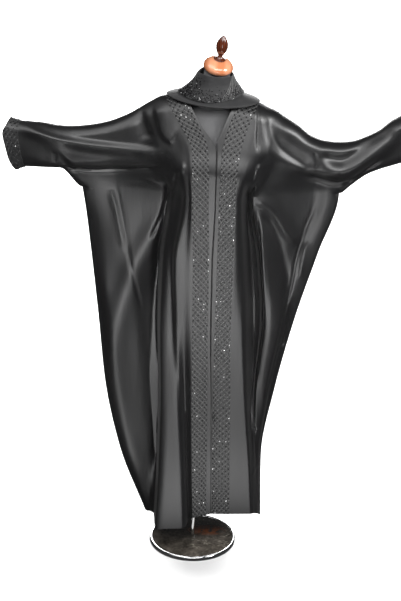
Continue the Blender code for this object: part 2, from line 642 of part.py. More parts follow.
def back_panel(left, right, satin, collection):
    """One piece across: the left half's columns, then the right half's."""
    pl, bl, ul = left.vertices("back")
    pr, br, ur = right.vertices("back")
    shift = len(pl)
    points = [list(p) for p in pl] + [list(p) for p in pr]
    br = {k: v + shift for k, v in br.items()}
    ur = {k: v + shift for k, v in ur.items()}
    rows_u = len(left.upper_v)
    # the back has no V: its inner columns run up to the back neck, round the form's neck
    for half, ui in ((left, ul), (right, ur)):
        last = half.col_of["band_in"]
        foot = points[ui[0, 0]][0]
        for r in range(1, rows_u):
            v = half.upper_v[r]
            side = points[ui[r, last]]
            middle_x = foot + (BACK_NECK_X - foot) * v
            middle_d = float(cubic((0, .25, .5, .75, 1), BACK_NECK_DEPTHS, v))
            for c in range(last):
                s = c / last                               # 0 centre back, 1 at the neck point
                crown = BACK_NECK_Z + (points[ui[rows_u - 1, last]][2] - BACK_NECK_Z) * s ** 2
                p = points[ui[r, c]]
                p[0] = middle_x + (side[0] - middle_x) * math.sin(s * math.pi / 2)
                p[1] = side[1] + (middle_d - side[1]) * math.cos(s * math.pi / 2)
                p[2] = ARM_ROW + v * (crown - ARM_ROW)
    join = {br[r, 0]: bl[r, 0] for r in range(len(left.body_v))}
    join.update({ur[r, 0]: ul[r, 0] for r in range(rows_u)})
    faces = half_faces(left, bl, ul, flip=False) + half_faces(right, br, ur, flip=True)
    faces = [tuple(join.get(i, i) for i in f) for f in faces]
    normals = vertex_normals(points, faces)
    seams = seam_nodes(left, bl, ul) | seam_nodes(right, br, ur)
    neck = {ul[rows_u - 1, c] for c in range(left.col_of["band_in"])}
    neck |= {ur[rows_u - 1, c] for c in range(right.col_of["band_in"])}
    normals = flat_at_seams(normals, seams - neck)
    wall("back", points, faces, normals, CLOTH, seams, satin, collection)
    return (points, bl, ul, normals), (points, br, ur, normals)


def cuff_band(name, half, rear, front, back, mat, collection):
    """Beaded band right round the sleeve end, on front and back alike."""
    rows = len(half.upper_v)
    start, stop = half.col_of["cuff_in"], half.col_of["cuff_end"]
    shift = rear.col_of["cuff_in"] - start
    points, normals = [], []
    for c in range(start, stop + 1):
        for r in range(rows):                              # up the front
            p, n = np.array(front[0][front[2][r, c]]), front[3][front[2][r, c]]
            if r in (0, rows - 1):                         # the fold or seam is shared
                p[1] = 0.0
            points.append(p)
            normals.append(n)
        for r in range(rows - 2, 0, -1):                   # and down the back
            i = back[2][r, c + shift]
            points.append(np.array(back[0][i]))
            normals.append(back[3][i])
    count = 2 * rows - 2
    faces = []
    for k in range(stop - start):
        for i in range(count):
            j = (i + 1) % count
            q = (k * count + i, (k + 1) * count + i, (k + 1) * count + j, k * count + j)
            faces += split_quad(*(q[::-1] if half.side < 0 else q))
    points = np.array(points) + np.array(normals) * LAP_GAP / MM
    return shell(name, points, faces, BAND, 1.0, mat, collection)


def wrap_ring(row, sides, turn=0.0):
    mid_x, mid_y, half_w, front, back, z_left, z_right, z_front, z_back = row
    ring = []
    for i in range(sides):
        a = math.tau * (i + turn) / sides
        c, s = math.cos(a), math.sin(a)
        deep = front if s < 0 else back
        z_side = (z_left + z_right) / 2 + (z_right - z_left) / 2 * c
        z_deep = z_front if s < 0 else z_back
        z = z_side + (z_deep - (z_left + z_right) / 2) * s * s
        ring.append((mid_x + half_w * c, mid_y + deep * s, z))
    return ring


def wrap_stretch(name, table, mat, collection):
    rings = [wrap_ring(r, WRAP_SIDES) for r in table]
    points = [p for ring in rings for p in ring]
    faces = []
    n = WRAP_SIDES
    for k in range(len(rings) - 1):
        for i in range(n):
            j = (i + 1) % n
            faces += split_quad((k + 1) * n + i, (k + 1) * n + j, k * n + j, k * n + i)
    return shell(name, points, faces, WRAP, -1.0, mat, collection)


# ---------------------------------------------------------------- form pieces
def axis_matrix(origin):
    lean = Matrix.Rotation(math.radians(NECK_LEAN), 4, "Y")
    nod = Matrix.Rotation(math.radians(NECK_NOD), 4, "X")
    return Matrix.Translation(Vector(origin) * MM) @ lean @ nod


def torso_ring(row):
    _, z, mid_x, mid_y, half, front, back, lean, nod = row
    turn = (Matrix.Rotation(math.radians(lean), 3, "Y") @ Matrix.Rotation(math.radians(nod), 3, "X"))
    ring = []
    for i in range(TORSO_SIDES):
        a = math.tau * i / TORSO_SIDES
        c, s = math.cos(a), math.sin(a)
        e = 2 / TORSO_POWER
        x = half * math.copysign(abs(c) ** e, c)
        y = (front if s < 0 else back) * math.copysign(abs(s) ** e, s)
        ring.append(Vector((mid_x, mid_y, z)) + turn @ Vector((x, y, 0)))
    return ring


def tilted_disc_profile():
    """Squashed ball of the neck cap, flat above and below."""
    points = [(0.0, CAP_FLAT_TOP)]
    top = math.asin(CAP_FLAT_TOP / CAP_H)
    low = math.asin(CAP_FLAT_LOW / CAP_H)
    n = 10
    for i in range(n + 1):
        a = top + (low - top) * i / n
        points.append((CAP_R * math.cos(a), CAP_H * math.sin(a)))
    points.append((0.0, CAP_FLAT_LOW))
    return points


def finial_profile():
    rows = list(reversed(FINIAL))
    return [(0.0, 82.6)] + rows + [(0.0, 0.0)]


def build():
    for obj in list(bpy.data.objects):
        bpy.data.objects.remove(obj, do_unlink=True)
    collection = bpy.data.collections.new("abaya_on_dress_form")
    bpy.context.scene.collection.children.link(collection)

    satin = material("black_satin", (0.030, 0.030, 0.033), 0.42, sheen=0.3)
    beaded = material("beaded_lattice", (0.045, 0.045, 0.047), 0.35, sheen=0.1)
    wrap_cloth = material("wrap_cloth", (0.024, 0.024, 0.026), 0.6, sheen=0.3)
    jersey = material("form_cover", (0.05, 0.05, 0.053), 0.6)
    honey = material("honey_wood", (0.55, 0.20, 0.05), 0.18, coat=0.8)
    red_wood = material("red_wood", (0.18, 0.035, 0.012), 0.2, coat=0.8)
    chrome = material("chrome", (0.8, 0.8, 0.8), 0.08, metallic=1.0)
    marble = material("marble", (0.05, 0.045, 0.04), 0.08)

    left = Half(-1, LEFT_BODY, LEFT_UPPER, LEFT_SLEEVE, LEFT_SPLITS, BODY_ROWS, UPPER_ROWS)
    right = Half(1, RIGHT_BODY, RIGHT_UPPER, RIGHT_SLEEVE, RIGHT_SPLITS, BODY_ROWS, UPPER_ROWS)
    rear = BACK_NECK_COLUMNS
    left_rear = Half(-1, LEFT_BODY, LEFT_UPPER, LEFT_SLEEVE, (rear,) + LEFT_SPLITS[1:], BODY_ROWS, UPPER_ROWS)
    right_rear = Half(1, RIGHT_BODY, RIGHT_UPPER, RIGHT_SLEEVE, (rear,) + RIGHT_SPLITS[1:], BODY_ROWS, UPPER_ROWS)
    front_l = front_panel("front_left", left, satin, collection)
    front_r = front_panel("front_right", right, satin, collection)
    back_l, back_r = back_panel(left_rear, right_rear, satin, collection)
    band_on_panel("band_left", left, front_l, beaded, collection)
    band_on_panel("band_right", right, front_r, beaded, collection)
    cuff_band("cuff_left", left, left_rear, front_l, back_l, beaded, collection)
    cuff_band("cuff_right", right, right_rear, front_r, back_r, beaded, collection)
    wrap_stretch("wrap_upper", WRAP_UPPER, wrap_cloth, collection)
    wrap_stretch("wrap_lower", WRAP_LOWER, wrap_cloth, collection)

    loft("form_torso", [torso_ring(r) for r in TORSO], jersey, collection)
    turned("neck_cap", tilted_disc_profile(), 32, honey, collection, axis_matrix(CAP_CENTRE))
    lift = axis_matrix(CAP_CENTRE) @ Matrix.Translation((0, 0, (CAP_FLAT_TOP + 0.3) * MM))
    turned("finial", finial_profile(), 24, red_wood, collection, lift)

    foot, head = Vector(POLE_FOOT) * MM, Vector(POLE_HEAD) * MM
    foot.z += SEAM_GAP
    run = head - foot
    bpy.ops.mesh.primitive_cylinder_add(vertices=28, radius=POLE_R * MM, depth=run.length)
    pole = bpy.context.active_object
    for c in list(pole.users_collection):
        c.objects.unlink(pole)
    collection.objects.link(pole)
    pole.name = pole.data.name = "pole"
    pole.data.materials.append(chrome)
    pole.data.shade_smooth()
    pole.data.set_sharp_from_angle(angle=math.radians(40))
    lean = math.atan2(run.x, run.z)
    pole.rotation_euler = (0, lean, 0)
    # the foot's lower edge stays clear of the slab
    pole.location = (foot + head) / 2 + Vector((0, 0, POLE_R * MM * math.sin(lean)))

    slab_r = BASE_R - RIM_W - 0.3
    turned("base_slab", [(0, BASE_H), (slab_r - 1, BASE_H), (slab_r, BASE_H - 1), (slab_r, 0), (0, 0)],
           48, marble, collection)
    inner = BASE_R - RIM_W
    rim = [(inner, 0.0), (inner, BASE_H - 1), (inner + 1.4, BASE_H + 0.6), (inner + 4, BASE_H + 1.0),
           (BASE_R - 1.6, BASE_H - 0.6), (BASE_R, BASE_H - 3.0), (BASE_R, 2.0), (BASE_R - 1.0, 0.0), (inner, 0.0)]
    turned("base_rim", rim, 48, chrome, collection)


build()
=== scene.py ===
import json
import math

import bmesh
import bpy
import numpy as np
from mathutils import Matrix, Vector

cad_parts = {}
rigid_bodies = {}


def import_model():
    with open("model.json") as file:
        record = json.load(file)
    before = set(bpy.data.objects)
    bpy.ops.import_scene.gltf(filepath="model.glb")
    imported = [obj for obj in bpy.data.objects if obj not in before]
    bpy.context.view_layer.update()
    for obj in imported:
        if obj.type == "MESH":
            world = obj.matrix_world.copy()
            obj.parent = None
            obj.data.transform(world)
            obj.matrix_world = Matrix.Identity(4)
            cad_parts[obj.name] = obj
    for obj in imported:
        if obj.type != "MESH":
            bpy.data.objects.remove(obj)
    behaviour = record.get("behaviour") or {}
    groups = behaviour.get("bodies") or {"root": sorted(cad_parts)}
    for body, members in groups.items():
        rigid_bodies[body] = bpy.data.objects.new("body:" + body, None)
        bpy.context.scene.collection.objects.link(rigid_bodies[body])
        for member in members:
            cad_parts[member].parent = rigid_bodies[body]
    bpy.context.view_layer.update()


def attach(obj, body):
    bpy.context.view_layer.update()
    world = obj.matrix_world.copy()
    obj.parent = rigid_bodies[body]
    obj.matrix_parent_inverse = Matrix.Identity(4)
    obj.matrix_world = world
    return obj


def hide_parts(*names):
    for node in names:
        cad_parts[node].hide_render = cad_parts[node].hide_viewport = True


MM = 0.001
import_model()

# >>>> shape of the garment and form
# ---------------------------------------------------------------- main sizes
CLOTH = 1.6 * MM            # wall of the satin panels
BAND = 1.4 * MM             # wall of the beaded bands
WRAP = 2.2 * MM             # wall of the neck wrap
SEAM_GAP = 0.3 * MM         # air between two pieces that meet
LAP_GAP = 0.5 * MM          # air under a band that lies on a panel
FRONT_LAP = 12.0            # the right front runs this far under the left one
LAP_STEP = 3.6              # and lies this much deeper there
ARM_ROW = 1285.0            # height where body and sleeve rows meet
SHOULDER_ROUND = 40.0       # rounding over the shoulders
SLEEVE_ROUND = 26.0         # rounding along the top of a sleeve
UNDER_ROUND = 24.0          # rounding along the underarm
WING_ROUND = 9.0            # rounding of the wing's side edge
FORM_CLEAR = 6.0            # cloth keeps this far off the form
CREASE_LIMIT = 0.33         # sharpest crease at which the wall keeps its full thickness
BACK_NECK_X, BACK_NECK_Z = 34.0, 1588.0              # middle of the back neckline
BACK_NECK_DEPTHS = (116, 114, 108, 88, 50)           # centre back, from the arm row up
BACK_NECK_COLUMNS = 3

BASE_R = 150.0
BASE_H = 14.0
RIM_W = 8.0
POLE_R = 7.0
POLE_FOOT = (0.0, 0.0, 14.0)
POLE_HEAD = (28.0, 0.0, 984.0)

CAP_CENTRE = (44.0, -40.0, 1694.0)
NECK_LEAN = 8.0             # degrees to the side
NECK_NOD = 18.0             # degrees forward
CAP_R, CAP_H = 47.0, 25.0   # half width and half height of the neck cap
CAP_FLAT_TOP, CAP_FLAT_LOW = 22.6, -20.0

# ---------------------------------------------------------------- body sections
# One row for each fold line, from the centre front out to the side edge.
# hem_x, hem_z: where it meets the hem.  x350 ... x1285: its x at those heights.
# f...: how far it stands in front of the middle plane.  b...: the back panel.
# The side seam runs half way between the two at the edge.
STATIONS = (350.0, 600.0, 850.0, 1080.0, ARM_ROW)
LEFT_BODY = (
    # name       hem_x hem_z  x350 x600 x850 x1080 x1285  fh  f350 f600 f850 f1080 f1285  bh  b350 b600 b850 b1080 b1285
    ("centre",     60, 169,   56,  50,  41,   39,   44,  118, 121, 124, 127, 131, 134,  106, 110, 115, 118, 118, 116),
    ("band_in",    45, 165,   42,  38,  33,   31,   25,  118, 121, 124, 127, 131, 134,  112, 116, 118, 120, 119, 116),
    ("band_out",    0, 152,   -6, -13, -17,  -20,  -27,  118, 121, 124, 127, 131, 134,  128, 128, 124, 122, 120, 117),
    ("cleft",     -12, 138,  -24, -35, -43,  -44,  -35,  101, 101, 106, 123, 129, 128,  132, 130, 126, 122, 120, 116),
    ("panel_r",   -24, 126,  -36, -51, -66,  -76,  -48,  133, 131, 122, 123, 127, 124,  130, 128, 124, 120, 118, 115),
    ("panel_m",   -38, 127,  -50, -64, -81,  -88,  -62,  147, 139, 127, 112,  96,  95,  124, 122, 118, 114, 114, 112),
    ("panel_c",   -92, 125,  -91, -90, -99, -102,  -79,  149, 139, 125, 110,  89,  70,  108, 106, 104, 102, 104, 104),
    ("panel_l",  -125, 116, -117,-113,-118, -115,  -91,  142, 131, 119, 104,  78,  56,   90,  90,  90,  92,  94,  92),
    ("valley",   -137, 113, -131,-132,-140, -131, -106,   24,   0, -12, -14,   0,  24,   78,  78,  78,  80,  84,  78),
    ("inner",    -145, 112, -143,-150,-166, -156, -124,   14,   0,  -5,  -6,  12,  34,   64,  62,  60,  62,  66,  60),
    ("seam",     -151, 110, -162,-190, -214, -236, -271,    5,   6,  10,  12,  18,  18,   50,  42,  30,  24,  22,  20),
    ("wing",     -158, 107, -214,-258,-286, -306, -328,    0,  16,  22,  18,  12,  20,   38,  32,  28,  34,  35,  26),
    ("edge",     -169, 104, -256,-307,-332, -356, -380,   -8,   2,   6,  -4,  -5,  18,   34,  24,  21,  34,  36,  18),
)
RIGHT_BODY = (
    ("centre",     60, 169,   56,  50,  41,   39,   44,  118, 121, 124, 127, 131, 134,  106, 110, 115, 118, 118, 116),
    ("band_in",    66, 170,   62,  58,  56,   57,   57,  117, 120, 123, 126, 130, 133,  108, 112, 116, 119, 119, 116),
    ("band_out",  126, 170,  120, 115, 108,  109,  108,  116, 119, 122, 125, 129, 132,  120, 122, 122, 122, 120, 117),
    ("strip",     195, 172,  184, 161, 145,  134,  126,  116, 118, 121, 122, 119, 120,  124, 124, 122, 120, 118, 114),
    ("slope",     203, 169,  193, 176, 170,  155,  134,  108, 100,  86,  74,  68,  88,  122, 122, 118, 116, 114, 108),
    ("stripe",    208, 165,  199, 184, 187,  170,  145,  100,  86,  70,  56,  46,  56,  116, 116, 112, 108, 108, 100),
    ("slit_fold", 212, 160,  203, 190, 202,  184,  153,   90,  78,  74,  72,  72,  58,  106, 106, 106,  98,  98,  90),
    ("slit",      216, 155,  207, 196, 212,  193,  160,   83,  64,  44,  32,  30,  38,   94,  94,  96,  84,  88,  80),
    ("inner",     220, 150,  211, 202, 218,  199,  166,   74,  54,  54,  60,  65,  62,   80,  80,  86,  78,  80,  70),
    ("crest",     223, 146,  215, 216, 236,  215,  188,   66,  49,  53,  62,  60,  58,   60,  62,  68,  64,  66,  60),
    ("trough",    224, 142,  219, 230, 266,  268,  254,   60,  42,  50,  53,  36,  40,   36,  38,  42,  42,  44,  46),
    ("seam",      225, 138,  222, 240, 286,  313,  365,   54,  34,  40,  34,  22,  18,   10,  20,  22,  20,  20,  20),
    ("wing",      227, 135,  224, 251, 300,  349,  404,   50,  25,  22,  22,  22,  22,  -18,   4,  20,  22,  24,  22),
    ("edge",      234, 132,  229, 267, 321,  385,  442,   56,  28,  13,  15,  16,  18,  -36,  -4,  13,  15,  16,  18),
)
# Above the arm row each line runs on to the shoulder and sleeve top.
# x25, x50, x75: its x at those parts of the way up.  top_x, top_z: its end.
# f25 ... ftop and b25 ... btop: depth of front and back before the top is rounded.
LEFT_UPPER = (
    # name       x25   x50   x75  top_x top_z   f25 f50 f75 ftop  b25 b50 b75 btop
    ("centre",     44,   43,   -8,  -55, 1603,  134, 113, 90, 62,  114, 108, 92, 60),
    ("band_in",    24,   20,  -15,  -64, 1602,  134, 113, 90, 62,  114, 108, 92, 60),
    ("band_out",  -28,  -30,  -67, -118, 1590,  134, 113, 86, 58,  114, 106, 88, 56),
    ("cleft",     -40,  -50,  -86, -132, 1586,  130, 109, 83, 54,  113, 104, 86, 54),
    ("panel_r",   -54,  -66, -102, -145, 1580,  126, 105, 79, 51,  112, 102, 83, 52),
    ("panel_m",   -68,  -82, -116, -157, 1573,  117, 101, 75, 48,  110, 100, 80, 50),
    ("panel_c",   -88, -102, -132, -169, 1566,  100,  95, 70, 46,  104,  96, 76, 48),
    ("panel_l",  -105, -122, -150, -185, 1556,   85,  87, 66, 44,   96,  90, 70, 46),
    ("valley",   -124, -145, -172, -204, 1544,   66,  76, 60, 42,   84,  82, 64, 44),
    ("inner",    -148, -172, -198, -229, 1529,   52,  66, 54, 40,   68,  70, 58, 42),
    ("seam",     -280, -286, -292, -298, 1500,   24,  48, 44, 36,   27,  46, 46, 38),
    ("wing",     -338, -346, -353, -360, 1487,   24,  46, 42, 34,   27,  42, 42, 36),
    ("edge",     -392, -400, -408, -414, 1482,   24,  46, 40, 32,   26,  42, 40, 34),
)
RIGHT_UPPER = (
    ("centre",     44,   44,   70,  105, 1592,  134, 113, 90, 62,  114, 108, 92, 60),
    ("band_in",    59,   62,   81,  115, 1591,  133, 112, 89, 62,  114, 108, 92, 60),
    ("band_out",  110,  118,  138,  171, 1578,  132, 111, 86, 58,  114, 106, 88, 56),
    ("strip",     130,  140,  158,  183, 1572,  129, 109, 84, 56,  112, 102, 84, 52),
    ("slope",     140,  152,  172,  196, 1565,  121, 105, 80, 52,  108,  98, 80, 50),
    ("stripe",    152,  165,  186,  209, 1558,  110, 100, 76, 50,  102,  94, 76, 48),
    ("slit_fold", 163,  178,  200,  222, 1553,   98,  95, 73, 48,   94,  88, 72, 46),
    ("slit",      174,  192,  215,  238, 1545,   85,  88, 70, 46,   86,  82, 68, 45),
    ("inner",     185,  207,  230,  254, 1534,   75,  80, 66, 45,   78,  76, 64, 44),
    ("crest",     208,  230,  253,  276, 1521,   62,  70, 60, 44,   68,  70, 60, 42),
    ("trough",    264,  276,  290,  302, 1504,   50,  60, 52, 40,   56,  60, 54, 40),
    ("seam",      360,  354,  348,  342, 1473,   27,  50, 46, 36,   28,  46, 46, 38),
    ("wing",      400,  395,  391,  387, 1457,   28,  48, 44, 35,   28,  44, 42, 36),
    ("edge",      440,  436,  432,  428, 1453,   28,  47, 42, 34,   27,  43, 40, 34),
)
# Sleeve rings from the wing corner out to the cuff; low_x, low_z is the underarm.
LEFT_SLEEVE = (
    # name      low_x low_z   x25   x50   x75  top_x top_z  f0 f25 f50 f75 ftop  b0 b25 b50 b75 btop
    ("elbow",    -447, 1347, -450, -452, -454, -455, 1484,  36, 42, 48, 40, 34,  34, 40, 44, 40, 34),
    ("forearm",  -500, 1348, -500, -500, -500, -500, 1491,  36, 42, 46, 40, 34,  34, 40, 42, 38, 33),
    ("cuff_in",  -558, 1349, -566, -572, -576, -574, 1496,  34, 40, 42, 38, 32,  33, 38, 40, 36, 31),
    ("cuff_end", -587, 1339, -608, -618, -626, -605, 1504,  33, 38, 40, 36, 30,  32, 36, 38, 34, 30),
)
RIGHT_SLEEVE = (
    ("elbow",     478, 1315,  478,  476,  474,  472, 1457,  36, 44, 50, 42, 34,  34, 40, 46, 42, 34),
    ("forearm",   525, 1352,  524,  521,  518,  515, 1473,  36, 44, 48, 42, 34,  34, 40, 44, 40, 34),
    ("lower_arm", 565, 1370,  564,  561,  558,  554, 1494,  36, 42, 46, 40, 34,  34, 40, 42, 38, 33),
    ("wrist",     603, 1383,  602,  599,  596,  593, 1527,  35, 42, 44, 38, 33,  33, 39, 42, 38, 32),
    ("cuff_in",   650, 1398,  655,  660,  664,  662, 1566,  34, 40, 42, 38, 32,  33, 38, 40, 36, 31),
    ("cuff_end",  686, 1408,  702,  712,  718,  696, 1590,  33, 38, 40, 36, 30,  32, 36, 38, 34, 30),
)
# Columns of faces between one line and the next, inner to outer.
LEFT_SPLITS = (1, 2, 1, 1, 1, 1, 1, 2, 1, 3, 2, 2, 2, 1, 1, 2)
RIGHT_SPLITS = (1, 2, 1, 1, 1, 1, 1, 1, 1, 1, 2, 2, 2, 1, 1, 1, 1, 1, 2)
BODY_ROWS = 12
UPPER_ROWS = 9

# Main folds: a soft ridge (high > 0) or trough (high < 0) along a path.
# side, x0,z0, x1,z1, x2,z2: three points of the path; wide and high in mm.
MAIN_FOLDS = (
    # name             side   x0    z0    x1    z1    x2    z2   wide high
    ("sleeve_ridge_l", -1, -585, 1492, -370, 1432, -150, 1425,  15,  12),
    ("sleeve_gutter_l",-1, -560, 1462, -340, 1404, -160, 1408,  13, -12),
    ("sleeve_roll_l",  -1, -560, 1390, -330, 1380, -160, 1385,  20,  10),
    ("sleeve_under_l", -1, -440, 1346, -330, 1342, -150, 1358,  11, -12),
    ("sleeve_gutter_r", 1,  250, 1470,  400, 1385,  600, 1460,  15, -11),
    ("sleeve_roll_r",   1,  230, 1400,  420, 1345,  640, 1480,  20,  12),
    ("sleeve_under_r",  1,  180, 1400,  330, 1335,  470, 1325,  12, -12),
)

# ---------------------------------------------------------------- dress form
# Sections of the torso: height, middle x, middle y, half width, front, back,
# and how far the section leans (degrees to the side, degrees forward).
TORSO = (
    # name        z   mid_x mid_y half_w front back lean nod
    ("under",    985,   28,    0,  118,   78,  74,  0,  0),
    ("seat",     992,   28,    0,  134,   90,  86,  0,  0),
    ("hip",     1050,   29,    0,  148,  100,  97,  0,  0),
    ("belly",   1140,   28,    0,  136,   94,  88,  0,  0),
    ("waist",   1220,   27,    0,  112,   82,  76,  0,  0),
    ("ribs",    1290,   27,    0,  116,   96,  80,  0,  0),
    ("bust",    1360,   26,    0,  132,  116,  88,  0,  0),
    ("chest",   1430,   22,    0,  150,   98,  94,  0,  0),
    ("armhole", 1490,   17,    0,  172,   76,  84,  0,  0),
    ("shoulder",1525,   16,    0,  172,   58,  64,  0,  0),
    ("slope",   1550,   20,    0,  132,   48,  52,  0,  0),
    ("collar",  1572,   28,   -2,   84,   46,  46,  2,  2),
    ("neck_low",1596,   34,  -10,   54,   46,  44,  5, 10),
    ("neck_mid",1630,   37,  -20,   43,   43,  41,  7, 14),
    ("neck_top",1674,   41,  -33,   40,   40,  40,  8, 18),
)
TORSO_POWER = 2.25
TORSO_SIDES = 32

# ---------------------------------------------------------------- neck wrap
# Rings of the two stretches of the wrap, from the top down.
# mid_x, mid_y, half_w; front, back: half depths; heights at left, right, front, back.
WRAP_UPPER = (
    # mid_x mid_y half_w front back  z_left z_right z_front z_back
    (37,   -34,   51,    50,  47,    1671,  1664,   1663,  1680),
    (37,   -33,   56,    55,  51,    1674,  1667,   1668,  1684),
    (33,   -26,   68,    62,  58,    1648,  1648,   1640,  1655),
    (28,   -18,   84,    74,  68,    1626,  1632,   1617,  1634),
    (25,   -12,   97,    84,  78,    1613,  1617,   1600,  1617),
    (24,   -10,  104,    88,  82,    1609,  1610,   1592,  1610),
)
WRAP_LOWER = (
    (28,   -14,   86,    74,  66,    1613,  1608,   1598,  1617),
    (30,   -10,  102,    84,  76,    1606,  1600,   1588,  1605),
    (31,    -8,  130,    92,  86,    1603,  1591,   1583,  1599),
    (31,    -6,  146,    97,  92,    1599,  1583,   1580,  1595),
    (31,    -6,  143,    95,  90,    1596,  1579,   1576,  1591),
)
WRAP_SIDES = 24

# Finial, turned: radius and height along its axis.
FINIAL = (
    (18.0, 0.0), (18.4, 1.6), (15.6, 3.8), (10.0, 7.4), (7.6, 11.5), (8.0, 15.0),
    (11.2, 21.5), (15.4, 30.0), (18.2, 39.5), (18.8, 47.5), (17.4, 56.5),
    (13.8, 65.5), (9.6, 72.5), (5.2, 78.5), (1.8, 82.0),
)


# ---------------------------------------------------------------- small helpers
def cubic(knots, values, at):
    """Smooth curve through the knots that never overshoots them (monotone cubic)."""
    k = np.asarray(knots, float)
    v = np.asarray(values, float)
    h = np.diff(k)
    s = np.diff(v) / h
    m = np.zeros(len(k))
    m[0], m[-1] = s[0], s[-1]
    for i in range(1, len(k) - 1):
        if s[i - 1] * s[i] > 0:
            w1, w2 = 2 * h[i] + h[i - 1], h[i] + 2 * h[i - 1]
            m[i] = (w1 + w2) / (w1 / s[i - 1] + w2 / s[i])
    x = np.clip(np.asarray(at, float), k[0], k[-1])
    i = np.clip(np.searchsorted(k, x, side="right") - 1, 0, len(k) - 2)
    t = (x - k[i]) / h[i]
    return ((2 * t**3 - 3 * t**2 + 1) * v[i] + (t**3 - 2 * t**2 + t) * h[i] * m[i]
            + (3 * t**2 - 2 * t**3) * v[i + 1] + (t**3 - t**2) * h[i] * m[i + 1])


def smooth(a, b, x):
    t = np.clip((np.asarray(x, float) - a) / (b - a), 0.0, 1.0)
    return t * t * (3 - 2 * t)


def rounded(t):
    """Quarter circle: 0 at an edge, 1 once past its rounding."""
    t = np.clip(t, 0.0, 1.0)
    return np.sqrt(np.clip(1 - (1 - t) ** 2, 0, 1))


def distance_to_path(x, z, path):
    """Distance from points to a polyline, and how far along it the nearest point is."""
    path = np.asarray(path, float)
    best = np.full(np.shape(x), 1e9)
    along = np.zeros(np.shape(x))
    lengths = np.hypot(*np.diff(path, axis=0).T)
    total, run = lengths.sum(), 0.0
    for (ax, az), (bx, bz), length in zip(path[:-1], path[1:], lengths):
        if length < 1e-9:
            continue
        t = np.clip(((x - ax) * (bx - ax) + (z - az) * (bz - az)) / length**2, 0, 1)
        d = np.hypot(x - ax - t * (bx - ax), z - az - t * (bz - az))
        near = d < best
        best = np.where(near, d, best)
        along = np.where(near, (run + t * length) / total, along)
        run += length
    return best, along


def form_depth(x, z, which):
    """Depth of the form's surface in front of (or behind) the middle plane."""
    rows = TORSO[:14]
    zs = [r[1] for r in rows]
    mid_x = np.interp(z, zs, [r[2] for r in rows])
    mid_y = np.interp(z, zs, [r[3] for r in rows])
    half = np.interp(z, zs, [r[4] for r in rows])
    deep = np.interp(z, zs, [r[5 if which == "front" else 6] for r in rows])
    u = np.clip(np.abs(x - mid_x) / half, 0, 1)
    depth = deep * (1 - u**TORSO_POWER) ** (1 / TORSO_POWER)
    depth = depth + (-mid_y if which == "front" else mid_y)
    inside = (u < 1) & (z > zs[0] - 12) & (z < zs[-1])
    return np.where(inside, depth, -1e3)


# ---------------------------------------------------------------- cloth sections
def line_columns(lines, splits):
    """Fractional line numbers of the columns; finer towards an outer edge."""
    cols = [0.0]
    for i, n in enumerate(splits):
        for j in range(1, n + 1):
            t = j / n
            if lines[i + 1] == "edge" and n > 1:
                t = math.sin(t * math.pi / 2)
            cols.append(i + t)
    return cols


